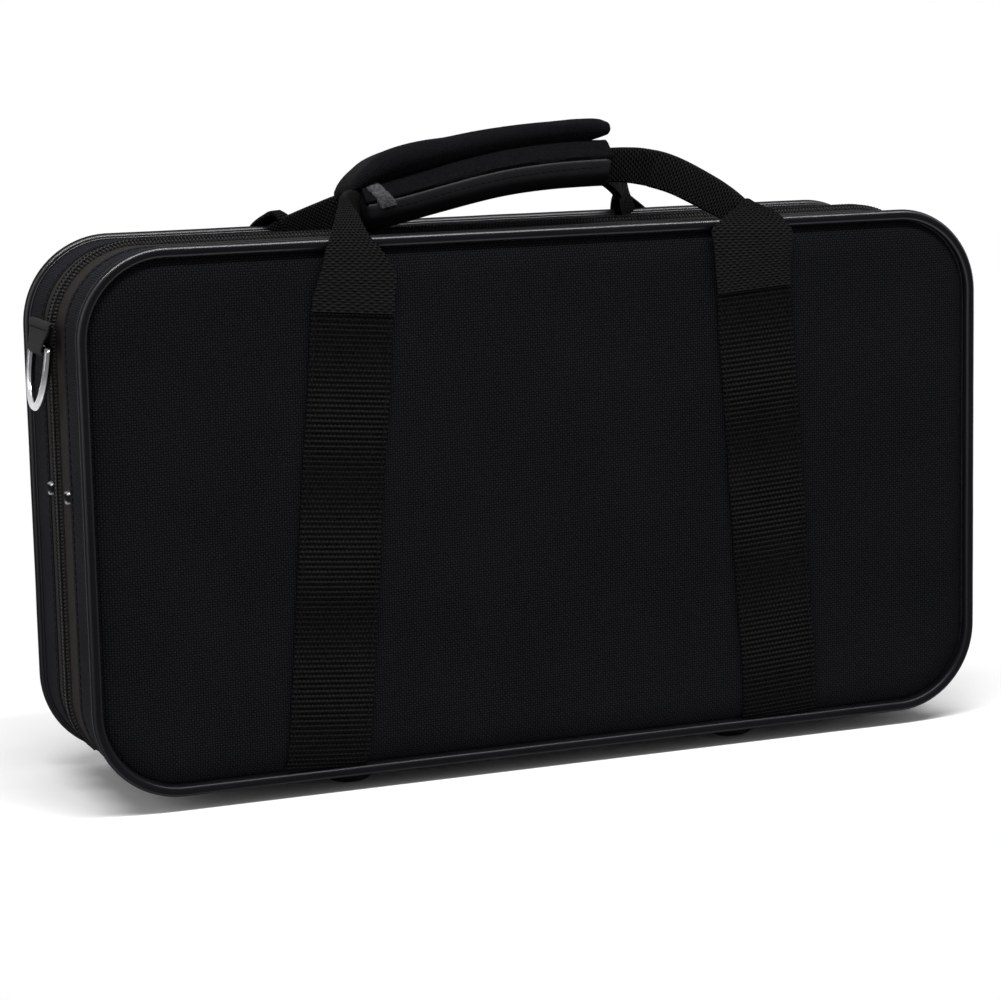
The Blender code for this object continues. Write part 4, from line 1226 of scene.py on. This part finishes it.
# Ring tabs and D-rings. A short doubled webbing tab is sewn beside the zip at each end and holds
# the straight bar of a chrome wire ring, which hangs down with its foot a little outwards.
ring_wire = 0.00175
ring_width = 0.0275
ring_drop = 0.0234
ring_leg = 0.0044
ring_corner = 0.00245
ring_lean = math.radians(8)
end_wall = rim_width / 2
eye_level = 0.1825
eye_out = 0.0056
tab_top = 0.0104
tab_ply = 0.00095
tab_wrap = ring_wire + 0.0003 + tab_ply / 2
chrome = Finish("chrome_wire", 0.16, 0.5, metal=1.0)
polish = chrome.grain(0.004, 3.0, 0.6)
chrome_height = chrome.place()[2]
# The ring's colour is bright low down and goes dark on its upper part, towards the bar, with a little
# random change.
darker_towards_bar = chrome_height.held(eye_level - 0.0215, eye_level - 0.009) * 0.75 + polish * 0.35
chrome.coat(
    chrome.blend(darker_towards_bar, (0.78, 0.78, 0.80), (0.11, 0.11, 0.115)), polish, 0.00004, 0.2,
    0.10 + polish * 0.14,
)
tab_webbing = Finish("tab_webbing", 0.6, 0.03)
tab_u, tab_v = tab_webbing.cloth_map()
tab_relief = tab_u.wave(0.0018) * tab_v.wave(0.0016) + tab_webbing.grain(0.0008, 3.0, 0.6)
tab_webbing.coat(
    tab_webbing.blend(tab_relief.held(-0.4, 1.5), (0.0030, 0.0030, 0.0031), (0.0260, 0.0252, 0.0246)),
    tab_relief, 0.0002, 0.9, 0.62 + tab_relief.held(-0.4, 1.5) * 0.15,
)


def ring_path():
    """The D's middle line: level bar on top, legs, and a half oval below."""
    half = ring_width / 2
    inner = half - ring_corner
    points = [(t * inner, 0.0) for t in (-0.6, -0.2, 0.2, 0.6)]
    for k in range(7):
        a = math.pi / 2 * k / 6
        points.append((inner + ring_corner * math.sin(a), ring_corner * (math.cos(a) - 1)))
    for k in range(33):
        a = math.pi * k / 32
        points.append((half * math.cos(a), -ring_leg - (ring_drop - ring_leg) * math.sin(a)))
    for k in range(7):
        a = math.pi / 2 * (1 - k / 6)
        points.append((-inner - ring_corner * math.sin(a), ring_corner * (math.cos(a) - 1)))
    return points


def slope_at(line, k):
    """The direction of a flat line at one of its points, across and up."""
    before, after = line[max(k - 1, 0)], line[min(k + 1, len(line) - 1)]
    way = np.array([after[0] - before[0], after[1] - before[1]])
    return way / np.linalg.norm(way)


for end, where in ends:
    path = ring_path()
    pivot = np.array([end * (end_wall + eye_out), 0.0, eye_level])
    up_way = np.array([-end * math.sin(ring_lean), 0.0, math.cos(ring_lean)])
    out_way = np.array([end * math.cos(ring_lean), 0.0, math.sin(ring_lean)])
    rows = []
    for k, (y, z) in enumerate(path):
        before, after = path[k - 1], path[(k + 1) % len(path)]
        ahead = np.array([0.0, after[0] - before[0], 0.0]) + (after[1] - before[1]) * up_way
        beside = np.cross(ahead / np.linalg.norm(ahead), out_way)
        spot = pivot + (0.0, y, 0.0) + z * up_way
        rows.append([
            spot + ring_wire * (math.cos(a) * out_way + math.sin(a) * beside)
            for a in round_angles(16)
        ])
    thing = skin("ring_" + where, rows, chrome, looped=True)
    fitted(thing, "ring_" + where, "chrome", "d_ring_" + where)

    # Along the tab: distance off the end wall, height over the ring's bar, half its width.
    line = [
        (0.0043, tab_top - 0.0012, 0.0166), (0.0046, tab_top, 0.0166),
        (0.0053, tab_top + 0.0001, 0.0166), (0.0058, tab_top - 0.0010, 0.0165),
        (0.0060, 0.0080, 0.0154), (0.0064, 0.0057, 0.0137), (0.0072, 0.0036, 0.0122),
    ]
    for a in np.radians(40 - 26 * np.arange(10)):
        line.append((eye_out + tab_wrap * math.cos(a), tab_wrap * math.sin(a), 0.0112))
    line += [
        (0.0040, 0.0024, 0.0114), (0.0038, 0.0050, 0.0128), (0.0037, 0.0080, 0.0146),
        (0.0036, 0.0105, 0.0160),
    ]
    line = smooth(line, 4)
    rows = []
    for k, (out, up, half) in enumerate(line):
        way = slope_at(line, k)
        ring = []
        for face in (1, -1):
            for f in np.linspace(-face, face, 13):
                ply = face * (1.0 if abs(f) < 0.95 else 0.55) * tab_ply / 2
                off_wall, off_bar = out + way[1] * ply, up - way[0] * ply
                ring.append((end * (end_wall + off_wall), f * half, eye_level + off_bar))
        rows.append(ring)
    fitted(skin("tab_" + where, rows, tab_webbing), "rear_half", "webbing", "ring_tab_" + where)
    holes = [
        (end * (end_wall + 0.00655), y, eye_level + 0.0080) for y in np.linspace(-0.0138, 0.0138, 11)
    ]
    stitches("tab_stitches_" + where, holes, [(end, 0.0, 0.0)] * len(holes), "rear_half")


# Stays, rivets, slider and pull. Two flat webbing stays hold the open lid, riveted through both
# ends. Rivets, slider and pull are dark plated metal with broken edges.
dark_metal = Finish("dark_plate", 0.35, 0.5, metal=1.0)
plating = dark_metal.grain(0.003, 4.0, 0.6)
rubbed = dark_metal.grain(0.012, 3.0, 0.6).held(0.45, 0.75)
dark_metal.coat(
    dark_metal.blend(rubbed, (0.085, 0.083, 0.080), (0.26, 0.255, 0.25)), plating, 0.00006, 0.3,
    0.26 + plating * 0.16,
)


def copied(name, node):
    """A new piece with the mesh of a solid."""
    thing = bpy.data.objects.new(name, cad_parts[node].data.copy())
    bpy.context.scene.collection.objects.link(thing)
    return thing


def eased(name, node, width, body):
    """A metal part made from its solid, with its edges broken and its faces made fine."""
    thing = copied(name, node)
    mesh = thing.data
    covered(thing, dark_metal)
    welded = bmesh.new()
    welded.from_mesh(mesh)
    bmesh.ops.remove_doubles(welded, verts=welded.verts, dist=0.000001)
    bmesh.ops.dissolve_limit(
        welded, angle_limit=math.radians(2), verts=welded.verts, edges=welded.edges
    )
    welded.to_mesh(mesh)
    welded.free()
    bevel = thing.modifiers.new("broken_edges", "BEVEL")
    bevel.width = width
    bevel.segments = 2
    bevel.limit_method = "ANGLE"
    bevel.angle_limit = math.radians(35)
    applied(thing).set_sharp_from_angle(angle=math.radians(42))
    fitted(thing, body, "dark_metal", node)


eased("slider_body", "zip_slider", 0.00028, "slider")
eased("slider_pull", "zip_pull", 0.00025, "pull")
stay_width = 0.0106
rivet_head = 0.003
rivet_shank = 0.0012
# From the shank outwards: radius, and share of the rivet's length.
rivet_line = (
    (rivet_shank, 0.0), (rivet_shank, 0.35), (rivet_shank, 0.70), (rivet_head * 0.96, 0.705),
    (rivet_head, 0.76), (rivet_head, 0.84), (rivet_head * 0.93, 0.94), (rivet_head * 0.82, 1.0),
    (rivet_head * 0.70, 0.98), (rivet_head * 0.60, 0.90), (rivet_head * 0.48, 0.82),
    (rivet_head * 0.24, 0.79), (0.00005, 0.785),
)
rivet_plate = Finish("rivet_plate", 0.30, 0.5, metal=1.0)
rivet_rub = rivet_plate.grain(0.0012, 3.0, 0.6)
_, rivet_y, rivet_z = rivet_plate.place()
rivet_low, rivet_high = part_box("stay_rivet_lid_left")
rivet_offset = -(rivet_low[1] + rivet_high[1]) / 2
rivet_level = (rivet_low[2] + rivet_high[2]) / 2
off_y, off_z = rivet_y.size() - rivet_offset, rivet_z - rivet_level
from_axis = (off_y * off_y + off_z * off_z).worked_alone("SQRT")
# Painted highlights: a rivet head is coloured light only at the top and bottom of its rim, and dark
# elsewhere.
painted_rim_highlights = from_axis.held(rivet_head * 0.50, rivet_head * 0.66)
painted_rim_highlights = painted_rim_highlights * off_z.size().held(rivet_head * 0.45, rivet_head * 0.62)
rivet_plate.coat(
    rivet_plate.blend(painted_rim_highlights, (0.010, 0.010, 0.011), (0.22, 0.22, 0.225)), rivet_rub, 0.00004, 0.2,
    0.26 + rivet_rub * 0.16,
)
for _, where in ends:
    for prefix, _, body in halves:
        low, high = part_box(f"stay_rivet_{prefix}_{where}")
        inner, outer = sorted((low[0], high[0]), key=abs)
        deep, level = (low[1] + high[1]) / 2, (low[2] + high[2]) / 2
        rows = [
            [
                (
                    inner + (outer - inner) * out, deep + radius * math.cos(a),
                    level + radius * math.sin(a),
                )
                for a in round_angles(32)
            ]
            for radius, out in rivet_line
        ]
        thing = skin(f"rivet_{prefix}_{where}", rows, rivet_plate)
        fitted(thing, body, "dark_metal", f"stay_rivet_{prefix}_{where}")
    low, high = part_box("stay_strap_" + where)
    x0, x1 = low[0], high[0]
    level, foot, reach = high[2], low[2], (high[1] - low[1]) / 2
    half = stay_width / 2
    bend = reach - half
    line = [(bend, level - 0.0002 - t) for t in np.linspace(0, level - foot - reach, 30)]
    centre = foot + reach
    line += [
        (bend * math.cos(a), centre - bend * math.sin(a)) for a in np.linspace(0.1, math.pi - 0.1, 18)
    ]
    line += [(-bend, z) for _, z in line[:30][::-1]]
    rows = []
    for k, (y, z) in enumerate(line):
        way = slope_at(line, k)
        off = np.array([-way[1], way[0]]) * half
        ring = [(x0 + 0.0001, y + f * off[0], z + f * off[1]) for f in (-0.96, -0.5, 0, 0.5, 0.96)]
        ring += [((x0 + x1) / 2, y + off[0], z + off[1])]
        ring += [(x1 - 0.0001, y + f * off[0], z + f * off[1]) for f in (0.96, 0.5, 0, -0.5, -0.96)]
        ring += [((x0 + x1) / 2, y - off[0], z - off[1])]
        rows.append(ring)
    thing = skin("stay_" + where, rows, tab_webbing)
    bend - 0.001
    0.001 - bend
    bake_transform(thing)
    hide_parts("stay_strap_" + where)


# Lining and lid pad. The lid is lined in short plush over thin foam, and a stuffed plush pad
# presses on the instrument when the lid is down.
plush = Finish("plush", 0.95, 0.08, 0.6)
plush.shader.inputs["Sheen Roughness"].default_value = 0.5
nap_fine = plush.grain(0.0006, 3.0, 0.7)
nap_lie = plush.grain(0.018, 3.0, 0.6)
nap_share = nap_fine.held(0.3, 0.7) * 0.35 + nap_lie.held(0.3, 0.7) * 0.65
plush_colour = plush.blend(nap_share, (0.0070, 0.0070, 0.0080), (0.028, 0.028, 0.031))
plush.coat(plush_colour, nap_fine + nap_lie * 1.5, 0.0009, 0.7)


def softened(name, node, voxel, rounds, seed, ripple, body):
    """A plush-covered form from its solid: even cells, rounded edges and a slight ripple."""
    thing = copied(name, node)
    even_cells(thing, voxel)
    soft = thing.modifiers.new("rounding", "SMOOTH")
    soft.iterations = rounds
    soft.factor = 0.5
    mesh = applied(thing)
    covered(thing, plush)
    spots = np.array([v.co for v in mesh.vertices])
    normals = np.array([v.normal for v in mesh.vertices])
    spots -= normals * (0.0002 + ripple * (0.5 + 0.5 * drift(spots, 0.035, seed)))[:, None]
    mesh.vertices.foreach_set("co", spots.ravel())
    fitted(thing, body, "plush_cloth", node)


softened("insert_form", "case_insert", 0.0024, 4, 81, 0.0004, "rear_half")
softened("lining_form", "lid_lining", 0.0012, 2, 82, 0.0001, "lid")

pad = copied("pad_form", "lid_pad")
shrunk_to_cloth(pad, 0.005, 0.0035, plush)
low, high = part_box("lid_pad")
spots = np.array([v.co for v in pad.data.vertices])
spots[:, 1] = np.clip(spots[:, 1], low[1], high[1] + 0.004)
pad.data.vertices.foreach_set("co", spots.ravel())
fitted(pad, "lid", "plush_cloth", "lid_pad")


# Studio. A pale paper floor that keeps the case's shadow and shows as plain white further out,
# a white room, one narrow strip lamp for the cords' bright edge and two soft lamps.
shadow_width = 0.19
shadow_depth = 0.045
floor_reach = 6.0
floor_lines = 25
room_light = 0.45
floor_finish = Finish("paper_floor", 0.6, 0.05)
paper = floor_finish.grain(0.02, 2.0, 0.5)
floor_x, floor_y, _ = floor_finish.place()
beyond_x = (floor_x.size() - shadow_width).at_least(0.0)
beyond_y = (floor_y.size() - shadow_depth).at_least(0.0)
away = (beyond_x * beyond_x + beyond_y * beyond_y).worked_alone("SQRT")
paper_colour = floor_finish.blend(paper, (0.82, 0.82, 0.82), (0.86, 0.86, 0.86))
floor_finish.coat(paper_colour, paper, 0.0001, 0.1)
seen = floor_finish.node("ShaderNodeLightPath")
bounced = floor_finish.node("ShaderNodeLightPath", out=3)
through = floor_finish.node("ShaderNodeLightPath", out=6)
glow = floor_finish.node("ShaderNodeEmission", None, {1: 1.0})
share = (seen + bounced + through).held(0.0, 1.0) * away.held(0.02, 0.16)
own = Reading(floor_finish, floor_finish.shader.outputs[0])
mixed = floor_finish.node("ShaderNodeMixShader", None, {0: share, 1: own, 2: glow})
floor_finish.feed(floor_finish.tree.nodes["Material Output"].inputs[0], mixed)
steps = np.linspace(-floor_reach, floor_reach, floor_lines)
spots = [(x, y, -0.0003) for y in steps for x in steps]
floor = mesh_piece("floor", spots, grid_faces(floor_lines, floor_lines), None, floor_finish)

world = bpy.data.worlds.new("studio")
bpy.context.scene.world = world
world.use_nodes = True
nodes, join = world.node_tree.nodes, world.node_tree.links.new
room = nodes["Background"]
room.inputs["Color"].default_value = (1.0, 1.0, 1.0, 1.0)
ray = nodes.new("ShaderNodeLightPath")
either, any_seen = nodes.new("ShaderNodeMath"), nodes.new("ShaderNodeMath")
either.operation = any_seen.operation = "MAXIMUM"
level = nodes.new("ShaderNodeMapRange")
level.inputs["To Min"].default_value = room_light
join(ray.outputs["Is Camera Ray"], either.inputs[0])
join(ray.outputs["Is Glossy Ray"], either.inputs[1])
join(either.outputs[0], any_seen.inputs[0])
join(ray.outputs["Is Transmission Ray"], any_seen.inputs[1])
join(any_seen.outputs[0], level.inputs["Value"])
join(level.outputs["Result"], room.inputs["Strength"])


def lamp(name, spot, target, width, height, watts):
    """A soft square lamp that faces a point."""
    light = bpy.data.lights.new(name, "AREA")
    light.shape = "RECTANGLE"
    light.size, light.size_y = width, height
    light.energy = watts
    thing = bpy.data.objects.new(name, light)
    bpy.context.scene.collection.objects.link(thing)
    thing.location = spot
    way = Vector(target) - Vector(spot)
    thing.rotation_euler = way.to_track_quat("-Z", "Y").to_euler()


lamp("strip_lamp", (0.0, -0.40, 1.1), (0.0, 0.0, 0.1), 1.6, 0.07, 20.0)
lamp("overhead_lamp", (-0.1, -0.25, 1.3), (0.0, 0.0, 0.1), 1.2, 0.7, 4.0)
lamp("left_lamp", (-1.35, 0.1, 0.55), (-0.1, 0.0, 0.12), 0.5, 1.0, 5.0)

azimuth, elevation, roll = 0.381, 0.160, -0.022
ahead = Vector((
    math.sin(azimuth) * math.cos(elevation), math.cos(azimuth) * math.cos(elevation),
    -math.sin(elevation),
))
right = Vector((math.cos(azimuth), -math.sin(azimuth), 0.0))
above = right.cross(ahead)
turned_right = right * math.cos(roll) + above * math.sin(roll)
turned_up = above * math.cos(roll) - right * math.sin(roll)
camera_data = bpy.data.cameras.new("camera")
camera_data.lens = 107.84
camera = bpy.data.objects.new("camera", camera_data)
bpy.context.scene.collection.objects.link(camera)
turn = Matrix((turned_right, turned_up, -ahead)).transposed().to_4x4()
camera.matrix_world = Matrix.Translation((-0.4719, -1.1620, 0.3077)) @ turn
bpy.context.scene.camera = camera
bpy.context.scene.view_settings.view_transform = "Standard"
